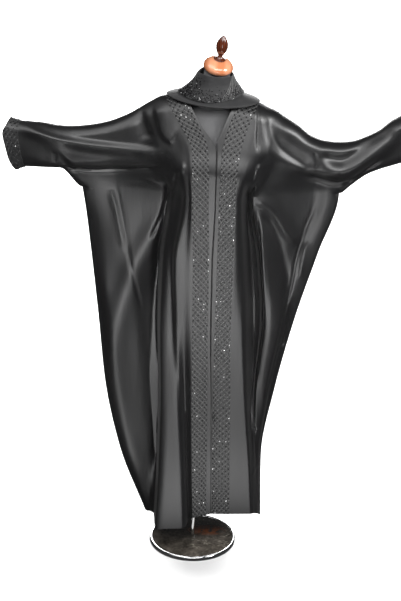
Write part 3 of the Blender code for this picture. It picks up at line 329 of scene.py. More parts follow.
class Half:
    """One side of the garment: front and back share its outline."""

    def __init__(self, side, body, upper, sleeve, splits, body_rows, upper_rows):
        self.side = side
        self.body, self.upper, self.sleeve = body, upper, sleeve
        names = [r[0] for r in body] + [r[0] for r in sleeve]
        self.names = names
        self.n_body = len(body)
        self.cols = line_columns(names, splits)
        self.col_of = {n: self.cols.index(float(i)) for i, n in enumerate(names)}
        self.body_v = [i / body_rows for i in range(body_rows + 1)]
        self.upper_v = [(1 - math.cos(math.pi * j / upper_rows)) / 2
                        for j in range(upper_rows + 1)]
        self.build()

    def line_knots(self, i, which):
        """Knots of one body line from hem to top: heights, x and depths."""
        b, u = self.body[i], self.upper[i]
        quarters = (0.25, 0.5, 0.75, 1.0)
        z = (b[2],) + STATIONS + tuple(ARM_ROW + q * (u[5] - ARM_ROW) for q in quarters)
        x = (b[1],) + b[3:8] + u[1:4] + (u[4],)
        d = (b[8:14] + u[6:10]) if which == "front" else (b[14:20] + u[10:14])
        return z, x, d

    def body_line(self, i, v, which):
        """x, z and depth of one body line at the fractions v of its height."""
        knots, xs, ds = self.line_knots(i, which)
        z = knots[0] + np.asarray(v) * (ARM_ROW - knots[0])
        return cubic(knots, xs, z), z, cubic(knots, ds, z)

    def upper_line(self, i, v, which):
        v = np.asarray(v)
        if i < self.n_body:
            knots, xs, ds = self.line_knots(i, which)
            z = ARM_ROW + v * (knots[-1] - ARM_ROW)
            return cubic(knots, xs, z), z, cubic(knots, ds, z)
        s = self.sleeve[i - self.n_body]
        quarters = (0.0, 0.25, 0.5, 0.75, 1.0)
        xs = (s[1],) + s[3:6] + (s[6],)
        ds = s[8:13] if which == "front" else s[13:18]
        return cubic(quarters, xs, v), s[2] + v * (s[7] - s[2]), cubic(quarters, ds, v)

    def across(self, rows):
        """Columns between the lines, read off smooth curves across them."""
        rows = np.asarray(rows)                       # lines x heights
        knots = np.arange(rows.shape[0])
        cols = [c for c in self.cols if c <= knots[-1] + 1e-9]
        return np.stack([cubic(knots, rows[:, j], cols) for j in range(rows.shape[1])])

    def build(self):
        self.grid = {}
        for which in ("front", "back"):
            body = [self.body_line(i, self.body_v, which) for i in range(self.n_body)]
            upper = [self.upper_line(i, self.upper_v, which)
                     for i in range(len(self.names))]
            for part, lines in (("body", body), ("upper", upper)):
                self.grid[which, part] = [self.across([l[k] for l in lines])
                                          for k in range(3)]
        bx, bz, _ = self.grid["front", "body"]
        ux, uz, _ = self.grid["front", "upper"]
        n = bx.shape[1]
        self.n_cols = n
        self.side_path = np.c_[bx[:, -1], bz[:, -1]]
        self.top_path = np.c_[ux[-1], uz[-1]]
        self.under_path = np.c_[ux[0, n - 1:], uz[0, n - 1:]]
        self.mid_z = bz[:, -1]
        self.mid_d = (self.grid["front", "body"][2][:, -1]
                      - self.grid["back", "body"][2][:, -1]) / 2
        for which in ("front", "back"):
            for part in ("body", "upper"):
                x, z, d = self.grid[which, part]
                self.grid[which, part] = (x, z, self.depth(x, z, d, which))

    def depth(self, x, z, d, which):
        """Depth with the form kept clear, the main folds laid in and edges rounded."""
        sign = 1 if which == "front" else -1
        mid = sign * np.interp(z, self.mid_z, self.mid_d)
        d = d + self.folds(x, z, which)
        d = np.maximum(d, form_depth(x, z, which) + FORM_CLEAR)
        off = np.abs(x) / 600.0
        top_r = SHOULDER_ROUND + (SLEEVE_ROUND - SHOULDER_ROUND) * smooth(0.25, 0.6, off)
        to_top, _ = distance_to_path(x, z, self.top_path)
        to_side, _ = distance_to_path(x, z, self.side_path)
        to_under, _ = distance_to_path(x, z, self.under_path)
        g = rounded(to_top / top_r) * rounded(to_side / WING_ROUND) * rounded(to_under / UNDER_ROUND)
        return mid + (d - mid) * g

    def folds(self, x, z, which):
        total = np.zeros(np.shape(x))
        for name, side, x0, z0, x1, z1, x2, z2, wide, high in MAIN_FOLDS:
            if side != self.side:
                continue
            t = np.linspace(0, 1, 13)
            path = np.c_[(1 - t)**2 * x0 + 2 * t * (1 - t) * (2 * x1 - (x0 + x2) / 2) + t**2 * x2,
                         (1 - t)**2 * z0 + 2 * t * (1 - t) * (2 * z1 - (z0 + z2) / 2) + t**2 * z2]
            dist, along = distance_to_path(x, z, path)
            fade = smooth(0, 0.12, along) * smooth(0, 0.12, 1 - along)
            total += (high if which == "front" else 0.8 * high) * fade * np.exp(-(dist / wide) ** 2)
        return total

    def vertices(self, which, first_col=0, lap=0.0):
        """Points of the whole half, with the index of each grid node."""
        sign = -1.0 if which == "front" else 1.0
        points, body_index, upper_index = [], {}, {}
        bx, bz, bd = self.grid[which, "body"]
        ux, uz, ud = self.grid[which, "upper"]

        def add(x, z, d, seam):
            y = sign * d
            if seam:
                y += sign * 0.5 * SEAM_GAP / MM
            points.append((x, y, z))
            return len(points) - 1

        rows, cols = bx.shape
        for r in range(rows):
            for c in range(cols):
                body_index[r, c] = add(bx[r, c], bz[r, c], bd[r, c], c == cols - 1)
        rows_u, cols_u = ux.shape
        for r in range(rows_u):
            for c in range(cols_u):
                if r == 0 and c < cols:
                    upper_index[r, c] = body_index[rows - 1, c]
                else:
                    seam = r == rows_u - 1 or (r == 0 and c >= cols - 1)
                    upper_index[r, c] = add(ux[r, c], uz[r, c], ud[r, c], seam)
        return points, body_index, upper_index


# <<<< shape

# ---------------------------------------------------------------- camera
CAM_PLACE = (0.00762, -4.29449, 2.59439)
CAM_DOWN, CAM_ROLL, CAM_LENS = 21.486, 1.5, 83.86


def make_camera():
    cam = bpy.data.cameras.new("camera")
    cam.lens, cam.sensor_width, cam.clip_end = CAM_LENS, 36.0, 60.0
    obj = bpy.data.objects.new("camera", cam)
    bpy.context.scene.collection.objects.link(obj)
    p, r = math.radians(CAM_DOWN), math.radians(CAM_ROLL)
    forward = Vector((0, math.cos(p), -math.sin(p)))
    up0, right0 = Vector((0, math.sin(p), math.cos(p))), Vector((1, 0, 0))
    right = right0 * math.cos(r) + up0 * math.sin(r)
    up = up0 * math.cos(r) - right0 * math.sin(r)
    m = Matrix((right, up, -forward)).transposed().to_4x4()
    m.translation = Vector(CAM_PLACE)
    obj.matrix_world = m
    bpy.context.scene.camera = obj


# ---------------------------------------------------------------- fine folds
# Soft folds, listed one by one: a ridge (high > 0) or trough (high < 0), in mm.
# side: L or R.  face: f front, b back, a all round.  west and east: the soft
# width on the path's two sides (below and above where it runs across), so a
# fold may be sharp on one side and slack on the other.  path: x, z points.
FOLDS = (
    # name             side face west east high  path
    ("ridge_l",         "L", "a", 26,  8,  12, ((-588, 1506), (-530, 1478), (-465, 1455), (-381, 1441), (-297, 1434), (-212, 1430), (-110, 1430))),
    ("roll_l",          "L", "a", 16, 26,   3, ((-586, 1402), (-500, 1382), (-420, 1374), (-300, 1376), (-190, 1386), (-100, 1406))),
    ("under_l",         "L", "a",  7,  8, -10, ((-470, 1356), (-400, 1351), (-330, 1350), (-257, 1354), (-163, 1368), (-115, 1384))),
    ("seam_mark_l",     "L", "a",  4,  4, -1.6, ((-462, 1412), (-460, 1372))),
    ("shoulder_l",      "L", "f",  9, 36,   7, ((-148, 1572), (-138, 1533), (-129, 1499), (-112, 1475), (-82, 1459))),
    ("shoulder_dip_l",  "L", "f", 26, 12,  -8, ((-196, 1552), (-180, 1505), (-160, 1462))),
    ("crinkle_l1",      "L", "f",  5,  6, 2.5, ((-172, 1380), (-130, 1360), (-100, 1346))),
    ("crinkle_l2",      "L", "f",  5,  6, 2.5, ((-180, 1333), (-145, 1314), (-106, 1300))),
    ("pulled_l",        "L", "f", 36, 42,   9, ((-92, 1282), (-128, 1189), (-172, 1100), (-216, 1000), (-254, 880), (-282, 740), (-286, 600), (-262, 450), (-222, 300), (-188, 190))),
    ("pinch_l",         "L", "f",  5,  6,  -6, ((-98, 1292), (-124, 1207), (-160, 1118))),
    ("pocket_l",        "L", "f", 11, 10, -12, ((-72, 1383), (-78, 1331), (-89, 1272), (-95, 1215))),
    ("taper_l",         "L", "f",  6,  7,   4, ((-54, 1404), (-66, 1368), (-75, 1333))),
    ("smear_l",         "L", "f", 14,  5,   3, ((-286, 1290), (-266, 1214), (-250, 1140), (-238, 1080))),
    ("side_seam_l",     "L", "a",  5,  5,  -3, ((-278, 1312), (-256, 1214), (-234, 1088), (-212, 987), (-194, 908), (-183, 859))),
    ("gulf_l",          "L", "f",  9,  4, -13, ((-134, 1150), (-136, 1000), (-140, 850), (-138, 700), (-134, 550), (-132, 400), (-134, 250))),
    ("crease_v_r",      "R", "a",  4,  4,  -5, ((170, 1590), (172, 1515), (175, 1435))),
    ("wedge_r",         "R", "f", 13, 26,  -9, ((207, 1560), (212, 1515), (220, 1482), (238, 1452), (270, 1424), (314, 1396), (352, 1366))),
    ("trough_r",        "R", "a", 14, 16,  -8, ((365, 1424), (420, 1405), (462, 1412), (522, 1460), (602, 1512))),
    ("roll_r",          "R", "a", 26, 22,  11, ((368, 1376), (435, 1369), (484, 1392), (563, 1462), (620, 1520), (660, 1562))),
    ("under_r",         "R", "a", 10, 10,  -8, ((300, 1362), (361, 1342), (426, 1328), (468, 1338), (528, 1385), (570, 1425))),
    ("crinkle_r1",      "R", "f",  4,  5,  -3, ((352, 1430), (360, 1400), (358, 1372))),
    ("wing_lap_r",      "R", "f",  5, 16,   8, ((177, 1404), (167, 1338), (156, 1279))),
    ("crest_r",         "R", "f", 10, 26,   7, ((160, 1280), (220, 1242), (275, 1158), (318, 1104))),
    ("crest_dip_r",     "R", "f", 12, 16,  -7, ((190, 1240), (223, 1192), (251, 1131), (284, 1005), (282, 900))),
    ("slit_r",          "R", "f",  4,  4, -10, ((172, 1262), (190, 1150), (204, 1000), (214, 850), (206, 740), (197, 640))),
    ("side_seam_r",     "R", "a",  5,  5,  -3, ((367, 1294), (359, 1231), (340, 1177), (326, 1117), (312, 1057), (306, 1001), (299, 954), (276, 840), (247, 650), (224, 557))),
    ("flange_r",        "R", "f",  6, 12,   3, ((346, 1130), (333, 1055), (328, 990))),
    ("notch_r",         "R", "f",  7,  6,  -4, ((272, 772), (286, 758))),
    ("gulf_r",          "R", "f", 12, 12,  -8, ((150, 1396), (143, 1315), (146, 1233), (152, 1082), (168, 945), (186, 770), (198, 600))),
    ("low_crease_r",    "R", "f",  6,  6, -4, ((174, 488), (192, 470), (209, 459))),
    ("low_bump_r",      "R", "f",  7,  8,   4, ((198, 305), (208, 317), (218, 321))),
    # the back hangs from the shoulders in long soft falls, and is pulled as the front is
    ("back_fall_l1",    "L", "b", 24, 16,   9, ((-62, 1390), (-78, 1050), (-88, 600), (-96, 60))),
    ("back_gulf_l",     "L", "b", 14, 22, -12, ((-118, 1345), (-124, 1020), (-132, 560), (-140, 80))),
    ("back_pull_l",     "L", "b", 24, 10,   7, ((-120, 1330), (-170, 1230), (-205, 1090), (-222, 930))),
    ("back_crinkle_l",  "L", "b",  6,  6, 2.5, ((-210, 1330), (-160, 1322), (-118, 1318))),
    ("back_fall_r1",    "R", "b", 16, 24,   9, ((88, 1385), (92, 1040), (100, 620), (112, 70))),
    ("back_gulf_r",     "R", "b", 20, 14, -12, ((150, 1340), (146, 1000), (150, 580), (158, 90))),
    ("back_pull_r",     "R", "b", 10, 24,   7, ((160, 1340), (212, 1240), (262, 1120), (284, 980))),
    ("back_crinkle_r",  "R", "b",  6,  6, 2.5, ((168, 1328), (214, 1330), (262, 1342))),
    ("back_middle",     "R", "b", 16, 18,  -5, ((22, 1430), (16, 1000), (22, 560), (28, 60))),
)
DIMPLE = (50, 540, 13, 26, -6.0)        # x, z, half width, half height and depth of the hidden snap's hollow


def signed_path(x, z, path):
    """Distance to a path with its side (east or above > 0), and how far along."""
    best = np.full(np.shape(x), 1e9)
    side = np.zeros(np.shape(x))
    along = np.zeros(np.shape(x))
    lengths = np.hypot(*np.diff(path, axis=0).T)
    total, run = lengths.sum(), 0.0
    for (ax, az), (bx, bz), length in zip(path[:-1], path[1:], lengths):
        if length < 1e-9:
            continue
        dx, dz = (bx - ax) / length, (bz - az) / length
        t = np.clip((x - ax) * dx + (z - az) * dz, 0, length)
        ox, oz = x - ax - t * dx, z - az - t * dz
        d = np.hypot(ox, oz)
        near = d < best
        best = np.where(near, d, best)
        side = np.where(near, dx * oz - dz * ox, side)
        along = np.where(near, (run + t) / total, along)
        run += length
    return best, side, along


class FineHalf(Half):
    def depth(self, x, z, d, which):
        """As the plain half, with the front and back never meeting inside a fold."""
        sign = 1 if which == "front" else -1
        mid = sign * np.interp(z, self.mid_z, self.mid_d)
        d = np.maximum(d + self.folds(x, z, which), mid + 5.0)
        d = np.maximum(d, form_depth(x, z, which) + FORM_CLEAR)
        off = np.abs(x) / 600.0
        top_r = SHOULDER_ROUND + (SLEEVE_ROUND - SHOULDER_ROUND) * smooth(0.25, 0.6, off)
        to_top, _ = distance_to_path(x, z, self.top_path)
        to_side, _ = distance_to_path(x, z, self.side_path)
        to_under, _ = distance_to_path(x, z, self.under_path)
        g = rounded(to_top / top_r) * rounded(to_side / WING_ROUND) * rounded(to_under / UNDER_ROUND)
        return mid + (d - mid) * g

    def folds(self, x, z, which):
        total = np.zeros(np.shape(x))
        for name, side, face, west, east, high, path in FOLDS:
            if (side == "L") != (self.side < 0):
                continue
            if face == "f" and which != "front" or face == "b" and which != "back":
                continue
            p = np.asarray(path, float)
            t = np.linspace(0, len(p) - 1, 6 * len(p))
            k = np.arange(len(p))
            if len(p) > 2:
                p = np.c_[spline(k, p[:, 0], t), spline(k, p[:, 1], t)]
            dist, cross, along = signed_path(x, z, p)
            # the two soft widths run into each other around the path's ends
            turn = 0.5 + 0.5 * np.clip(cross / np.maximum(dist, 1e-6), -1, 1)
            wide = west + (east - west) * turn
            fade = smooth(0, 0.16, along) * smooth(0, 0.16, 1 - along)
            h = high if which == "front" or face == "b" else 0.8 * high
            total += h * fade * np.exp(-(dist / wide) ** 2)
        if which == "front" and self.side > 0:
            px, pz, wide, tall, deep = DIMPLE
            total += deep * np.exp(-((x - px) / wide) ** 2 - ((z - pz) / tall) ** 2)
        return total


def spline(k, v, at):
    """Natural-looking smooth curve through a few points (Catmull-Rom)."""
    v = np.asarray(v, float)
    n = len(v)
    i = np.clip(np.floor(at).astype(int), 0, n - 2)
    t = at - i
    p0, p1 = v[np.maximum(i - 1, 0)], v[i]
    p2, p3 = v[i + 1], v[np.minimum(i + 2, n - 1)]
    return 0.5 * (2 * p1 + (p2 - p0) * t + (2 * p0 - 5 * p1 + 4 * p2 - p3) * t**2
                  + (3 * p1 - p0 - 3 * p2 + p3) * t**3)


FINE_LEFT = (4, 12, 5, 5, 5, 6, 6, 6, 6, 12, 10, 9, 10, 8, 12, 10)
FINE_RIGHT = (4, 12, 8, 4, 3, 3, 3, 4, 5, 8, 10, 10, 10, 9, 8, 8, 8, 10, 10)
FINE_BODY_ROWS, FINE_UPPER_ROWS = 225, 64      # rows of the fronts
REAR_BODY_ROWS, REAR_UPPER_ROWS = 150, 46      # rows of the back


# ---------------------------------------------------------------- mesh helpers
def fast_normals(points, faces):
    p = np.asarray(points, float)
    f = np.asarray(faces)
    k = np.cross(p[f[:, 1]] - p[f[:, 0]], p[f[:, 2]] - p[f[:, 0]])
    n = np.zeros_like(p)
    for j in range(3):
        np.add.at(n, f[:, j], k)
    length = np.linalg.norm(n, axis=1)
    length[length < 1e-12] = 1.0
    return n / length[:, None]


def mesh_object(name, verts, faces, mat, smooth_angle=None):
    mesh = bpy.data.meshes.new(name)
    mesh.from_pydata([tuple(map(float, v)) for v in verts], [], [tuple(map(int, f)) for f in faces])
    mesh.update()
    mesh.shade_smooth()
    if smooth_angle:
        mesh.set_sharp_from_angle(angle=math.radians(smooth_angle))
    if mat is not None:
        mesh.materials.append(mat)
    obj = bpy.data.objects.new(name, mesh)
    bpy.context.scene.collection.objects.link(obj)
    return obj


def quads_of(index_grid_rows, flip):
    g = index_grid_rows
    a, b, c, d = g[:-1, :-1].ravel(), g[:-1, 1:].ravel(), g[1:, 1:].ravel(), g[1:, :-1].ravel()
    q = np.c_[a, b, c, d]
    return q[:, ::-1] if flip else q


UNDERARMS = ((-380, 1287), (442, 1286))      # x, z of the corners where the side seams meet the sleeves
UNDERARM_REACH = 14.0


def sheet_wall(name, points_mm, quads, normals, start, thick, mat, half=0):
    """Closed wall of cloth over a grid of quads, sharing nothing with its neighbours."""
    p = np.asarray(points_mm, float) * MM
    used, inverse = np.unique(quads, return_inverse=True)
    q = inverse.reshape(quads.shape)
    n = np.asarray(normals)[used]
    low = p[used] + n * min(start, start + thick)
    high = p[used] + n * max(start, start + thick)
    if half:                                # right at the underarms the inner wall stays on its own side of the seam
        for x, z in UNDERARMS:
            near = np.hypot(high[:, 0] - x * MM, high[:, 2] - z * MM) < UNDERARM_REACH * MM
            low[near, 1] = half * np.maximum(half * low[near, 1], 0.5 * SEAM_GAP)
    count = len(used)
    e = np.vstack([q[:, [0, 1]], q[:, [1, 2]], q[:, [2, 3]], q[:, [3, 0]]])
    keys = {}
    for a, b in e:
        keys[(int(a), int(b))] = True
    rim = [(a, b) for a, b in keys if (b, a) not in keys]
    faces = [tuple(r) for r in (q + count)] + [tuple(r) for r in q[:, ::-1]]
    faces += [(b + count, a + count, a, b) for a, b in rim]
    return mesh_object(name, np.vstack([low, high]), faces, mat, 55)


class Panel:
    """Points, indices and normals of one half of the front or back, at full detail."""

    def __init__(self, half, which):
        self.half, self.which = half, which
        pts, bi, ui = half.vertices(which)
        self.points = np.array(pts, float)
        rb, cb = len(half.body_v), half.n_cols
        ru, cu = len(half.upper_v), len(half.cols)
        self.body = np.array([[bi[r, c] for c in range(cb)] for r in range(rb)])
        self.upper = np.array([[ui[r, c] for c in range(cu)] for r in range(ru)])

    def quads(self, first=0, last=None, trim_top=0, trim_bottom=0):
        flip = (self.half.side < 0) == (self.which == "front")
        last_b = self.body.shape[1] - 1 if last is None else last
        last_u = self.upper.shape[1] - 1 if last is None else last
        top = self.upper.shape[0] - trim_top
        return np.vstack([quads_of(self.body[trim_bottom:, first:last_b + 1], flip),
                          quads_of(self.upper[:top, first:last_u + 1], flip)])

    def seam(self):
        last = self.half.n_cols - 1
        return set(self.body[:, last]) | set(self.upper[-1, :]) | set(self.upper[0, last:])

    def columns(self, first, last):
        """One grid of point numbers from hem to top, for the columns of a band."""
        return np.vstack([self.body[:, first:last + 1], self.upper[1:, first:last + 1]])


def tri(quads):
    return np.vstack([quads[:, [0, 1, 2]], quads[:, [0, 2, 3]]])


def flatten_seam(normals, nodes):
    for i in nodes:
        n = normals[i]
        n[1] = 0.0
        length = np.linalg.norm(n)
        if length > 1e-9:
            normals[i] = n / length
    return normals


# ---------------------------------------------------------------- materials
def new_material(name):
    m = bpy.data.materials.new(name)
    m.use_nodes = True
    nt = m.node_tree
    return m, nt, nt.nodes["Principled BSDF"], nt.links


def noise(nt, scale, detail=2.0, rough=0.5, vector=None):
    n = nt.nodes.new("ShaderNodeTexNoise")
    n.inputs["Scale"].default_value = scale
    n.inputs["Detail"].default_value = detail
    n.inputs["Roughness"].default_value = rough
    if vector is not None:
        nt.links.new(vector, n.inputs["Vector"])
    return n


def ramp(nt, source, stops):
    r = nt.nodes.new("ShaderNodeValToRGB")
    while len(r.color_ramp.elements) < len(stops):
        r.color_ramp.elements.new(0.5)
    for e, (pos, col) in zip(r.color_ramp.elements, stops):
        e.position = pos
        e.color = (*col, 1.0)
    nt.links.new(source, r.inputs["Fac"])
    return r


def object_coords(nt):
    t = nt.nodes.new("ShaderNodeTexCoord")
    return t.outputs["Object"]


def stretch(nt, vector, scale):
    m = nt.nodes.new("ShaderNodeMapping")
    m.inputs["Scale"].default_value = scale
    nt.links.new(vector, m.inputs["Vector"])
    return m.outputs["Vector"]


def bump(nt, height, strength, distance, normal=None):
    b = nt.nodes.new("ShaderNodeBump")
    b.inputs["Strength"].default_value = strength
    b.inputs["Distance"].default_value = distance
    nt.links.new(height, b.inputs["Height"])
    if normal is not None:
        nt.links.new(normal, b.inputs["Normal"])
    return b.outputs["Normal"]


def satin_material():
    m, nt, p, links = new_material("black_satin")
    xyz = object_coords(nt)
    # faint cloudiness of the dye and of handling
    tone = noise(nt, 3.0, 4.0, 0.55, xyz)
    r = ramp(nt, tone.outputs["Fac"], [(0.3, (0.0042, 0.0042, 0.0048)), (0.7, (0.0066, 0.0064, 0.0069))])
    links.new(r.outputs["Color"], p.inputs["Base Color"])
    gloss = noise(nt, 9.0, 3.0, 0.5, stretch(nt, xyz, (1.0, 1.0, 0.25)))
    g = nt.nodes.new("ShaderNodeMapRange")
    g.inputs["To Min"].default_value, g.inputs["To Max"].default_value = 0.37, 0.43
    links.new(gloss.outputs["Fac"], g.inputs["Value"])
    links.new(g.outputs["Result"], p.inputs["Roughness"])
    # fine warp threads and slack ripples
    threads = noise(nt, 2600.0, 1.0, 0.5, stretch(nt, xyz, (1.0, 1.0, 0.12)))
    ripple = noise(nt, 26.0, 3.0, 0.5, stretch(nt, xyz, (1.0, 1.0, 0.22)))
    n1 = bump(nt, ripple.outputs["Fac"], 0.25, 0.0035)
    links.new(bump(nt, threads.outputs["Fac"], 0.12, 0.0002, n1), p.inputs["Normal"])
    p.inputs["Specular IOR Level"].default_value = 0.8
    p.inputs["Sheen Weight"].default_value = 0.05
    p.inputs["Sheen Roughness"].default_value = 0.45
    p.inputs["Anisotropic"].default_value = 0.35
    return m


def band_material():
    """The satin ground of the beading, pulled into small puckers by the stitches."""
    m, nt, p, links = new_material("beaded_lattice")
    xyz = object_coords(nt)
    tone = noise(nt, 40.0, 3.0, 0.6, xyz)
    r = ramp(nt, tone.outputs["Fac"], [(0.3, (0.009, 0.009, 0.0095)), (0.75, (0.016, 0.016, 0.0165))])
    links.new(r.outputs["Color"], p.inputs["Base Color"])
    weave = noise(nt, 1300.0, 2.0, 0.6, xyz)
    pucker = noise(nt, 120.0, 2.0, 0.5, xyz)
    n1 = bump(nt, pucker.outputs["Fac"], 0.35, 0.0012)
    links.new(bump(nt, weave.outputs["Fac"], 0.3, 0.0003, n1), p.inputs["Normal"])
    p.inputs["Roughness"].default_value = 0.46
    p.inputs["Specular IOR Level"].default_value = 0.7
    p.inputs["Sheen Weight"].default_value = 0.08
    return m


def bead_material():
    m, nt, p, links = new_material("jet_beads")
    xyz = object_coords(nt)
    tone = noise(nt, 260.0, 1.0, 0.5, xyz)
    r = ramp(nt, tone.outputs["Fac"], [(0.35, (0.0015, 0.0015, 0.002)), (0.7, (0.005, 0.005, 0.006))])
    links.new(r.outputs["Color"], p.inputs["Base Color"])
    p.inputs["Roughness"].default_value = 0.16
    p.inputs["Specular IOR Level"].default_value = 0.35
    return m


# Pale glossy beads: their pale colour is a painted glint among the dark beads; the gloss itself is real.
def glint_paint_material():
    m, nt, p, links = new_material("painted_glint_crystal")
    xyz = object_coords(nt)
    tone = noise(nt, 300.0, 1.0, 0.5, xyz)
    # this pale colour is painted glint
    r = ramp(nt, tone.outputs["Fac"], [(0.35, (0.55, 0.55, 0.56)), (0.7, (0.85, 0.85, 0.84))])
    links.new(r.outputs["Color"], p.inputs["Base Color"])
    p.inputs["Roughness"].default_value = 0.12
    p.inputs["Metallic"].default_value = 0.35
    p.inputs["Specular IOR Level"].default_value = 1.0
    return m


def thread_material():
    m, nt, p, links = new_material("grey_thread")
    xyz = object_coords(nt)
    tone = noise(nt, 150.0, 2.0, 0.5, xyz)
    r = ramp(nt, tone.outputs["Fac"], [(0.3, (0.10, 0.10, 0.10)), (0.7, (0.20, 0.20, 0.195))])
    links.new(r.outputs["Color"], p.inputs["Base Color"])
    twist = noise(nt, 1500.0, 1.0, 0.5, xyz)
    links.new(bump(nt, twist.outputs["Fac"], 0.3, 0.0003), p.inputs["Normal"])
    p.inputs["Roughness"].default_value = 0.45
    return m


def wrap_material():
    m, nt, p, links = new_material("wrap_cloth")
    xyz = object_coords(nt)
    tone = noise(nt, 30.0, 4.0, 0.6, xyz)
    r = ramp(nt, tone.outputs["Fac"], [(0.3, (0.012, 0.012, 0.013)), (0.75, (0.024, 0.024, 0.025))])
    links.new(r.outputs["Color"], p.inputs["Base Color"])
    weave = noise(nt, 1400.0, 2.0, 0.6, xyz)
    slack = noise(nt, 60.0, 3.0, 0.5, stretch(nt, xyz, (0.5, 0.5, 1.6)))
    n1 = bump(nt, slack.outputs["Fac"], 0.3, 0.004)
    links.new(bump(nt, weave.outputs["Fac"], 0.35, 0.0004, n1), p.inputs["Normal"])
    p.inputs["Roughness"].default_value = 0.62
    p.inputs["Sheen Weight"].default_value = 0.25
    return m


def jersey_material():
    m, nt, p, links = new_material("form_cover")
    xyz = object_coords(nt)
    tone = noise(nt, 14.0, 3.0, 0.6, xyz)
    r = ramp(nt, tone.outputs["Fac"], [(0.3, (0.095, 0.095, 0.098)), (0.75, (0.120, 0.120, 0.123))])
    links.new(r.outputs["Color"], p.inputs["Base Color"])
    knit = nt.nodes.new("ShaderNodeTexWave")
    knit.inputs["Scale"].default_value = 420.0
    knit.inputs["Distortion"].default_value = 0.6
    links.new(xyz, knit.inputs["Vector"])
    links.new(bump(nt, knit.outputs["Fac"], 0.2, 0.0003), p.inputs["Normal"])
    p.inputs["Roughness"].default_value = 0.7
    p.inputs["Sheen Weight"].default_value = 0.2
    return m


def wood_material(name, dark, light, scale):
    m, nt, p, links = new_material(name)
    xyz = object_coords(nt)
    grain = nt.nodes.new("ShaderNodeTexWave")
    grain.wave_type = "BANDS"
    grain.inputs["Scale"].default_value = scale
    grain.inputs["Distortion"].default_value = 5.0
    grain.inputs["Detail"].default_value = 3.0
    grain.inputs["Detail Scale"].default_value = 1.6
    links.new(stretch(nt, xyz, (1.0, 0.35, 0.35)), grain.inputs["Vector"])
    r = ramp(nt, grain.outputs["Fac"], [(0.2, dark), (0.85, light)])
    links.new(r.outputs["Color"], p.inputs["Base Color"])
    pores = noise(nt, 600.0, 2.0, 0.6, stretch(nt, xyz, (1.0, 0.2, 0.2)))
    links.new(bump(nt, pores.outputs["Fac"], 0.06, 0.0003), p.inputs["Normal"])
    p.inputs["Roughness"].default_value = 0.22
    p.inputs["Coat Weight"].default_value = 0.9
    p.inputs["Coat Roughness"].default_value = 0.06
    return m


def chrome_material():
    m, nt, p, links = new_material("polished_chrome")
    xyz = object_coords(nt)
    smear = noise(nt, 30.0, 4.0, 0.6, xyz)
    g = nt.nodes.new("ShaderNodeMapRange")
    g.inputs["To Min"].default_value, g.inputs["To Max"].default_value = 0.06, 0.16
    links.new(smear.outputs["Fac"], g.inputs["Value"])
    links.new(g.outputs["Result"], p.inputs["Roughness"])
    p.inputs["Base Color"].default_value = (0.72, 0.72, 0.73, 1)
    p.inputs["Metallic"].default_value = 1.0
    scratch = noise(nt, 500.0, 2.0, 0.5, stretch(nt, xyz, (1.0, 1.0, 0.1)))
    links.new(bump(nt, scratch.outputs["Fac"], 0.03, 0.0002), p.inputs["Normal"])
    return m


RUST_AT = (0.050, 0.070, 0.014)           # place of the stone's rusty cloud, y stretched by 1.9


def marble_material():
    m, nt, p, links = new_material("dark_marble")
    xyz = object_coords(nt)
    cloud = noise(nt, 30.0, 8.0, 0.7, xyz)
    base = ramp(nt, cloud.outputs["Fac"], [(0.30, (0.022, 0.019, 0.016)), (0.48, (0.075, 0.066, 0.055)),
                                           (0.64, (0.15, 0.13, 0.11)), (0.80, (0.28, 0.25, 0.21))])

    def veins(scale, width, offset):
        """Thin lines where a stretched noise crosses its middle value."""
        n = noise(nt, scale, 5.0, 0.6, stretch(nt, xyz, (1.0, 2.3, 1.0)))
        n.noise_dimensions = "4D"
        n.inputs["W"].default_value = offset
        away = nt.nodes.new("ShaderNodeMath")
        away.operation = "SUBTRACT"
        away.inputs[1].default_value = 0.5
        links.new(n.outputs["Fac"], away.inputs[0])
        size = nt.nodes.new("ShaderNodeMath")
        size.operation = "ABSOLUTE"
        links.new(away.outputs[0], size.inputs[0])
        return ramp(nt, size.outputs[0], [(0.0, (1, 1, 1)), (width, (0, 0, 0))])
    patch = noise(nt, 12.0, 2.0, 0.5, xyz)
    where = ramp(nt, patch.outputs["Fac"], [(0.50, (0, 0, 0)), (0.62, (1, 1, 1))])
    line = veins(10.0, 0.012, 3.0)
    both = nt.nodes.new("ShaderNodeMath")
    both.operation = "MULTIPLY"
    links.new(line.outputs["Color"], both.inputs[0])
    links.new(where.outputs["Color"], both.inputs[1])
    mix = nt.nodes.new("ShaderNodeMixRGB")
    mix.inputs["Color2"].default_value = (0.36, 0.33, 0.27, 1)
    links.new(both.outputs[0], mix.inputs["Fac"])
    links.new(base.outputs["Color"], mix.inputs["Color1"])
    # one rusty cloud behind the pole
    spot = nt.nodes.new("ShaderNodeVectorMath")
    spot.operation = "DISTANCE"
    spot.inputs[1].default_value = RUST_AT
    links.new(stretch(nt, xyz, (1.0, 1.9, 1.0)), spot.inputs[0])
    near = ramp(nt, spot.outputs["Value"], [(0.0, (1, 1, 1)), (0.075, (0, 0, 0))])
    ragged = noise(nt, 45.0, 5.0, 0.6, xyz)
    rr = ramp(nt, ragged.outputs["Fac"], [(0.36, (0, 0, 0)), (0.52, (0.95, 0.95, 0.95))])
    rust = nt.nodes.new("ShaderNodeMath")
    rust.operation = "MULTIPLY"
    links.new(near.outputs["Color"], rust.inputs[0])
    links.new(rr.outputs["Color"], rust.inputs[1])
    mix2 = nt.nodes.new("ShaderNodeMixRGB")
    mix2.inputs["Color2"].default_value = (0.60, 0.17, 0.045, 1)
    links.new(rust.outputs[0], mix2.inputs["Fac"])
    links.new(mix.outputs["Color"], mix2.inputs["Color1"])
    links.new(mix2.outputs["Color"], p.inputs["Base Color"])
    p.inputs["Roughness"].default_value = 0.10
    p.inputs["Coat Weight"].default_value = 0.3
    p.inputs["Coat Roughness"].default_value = 0.05
    return m


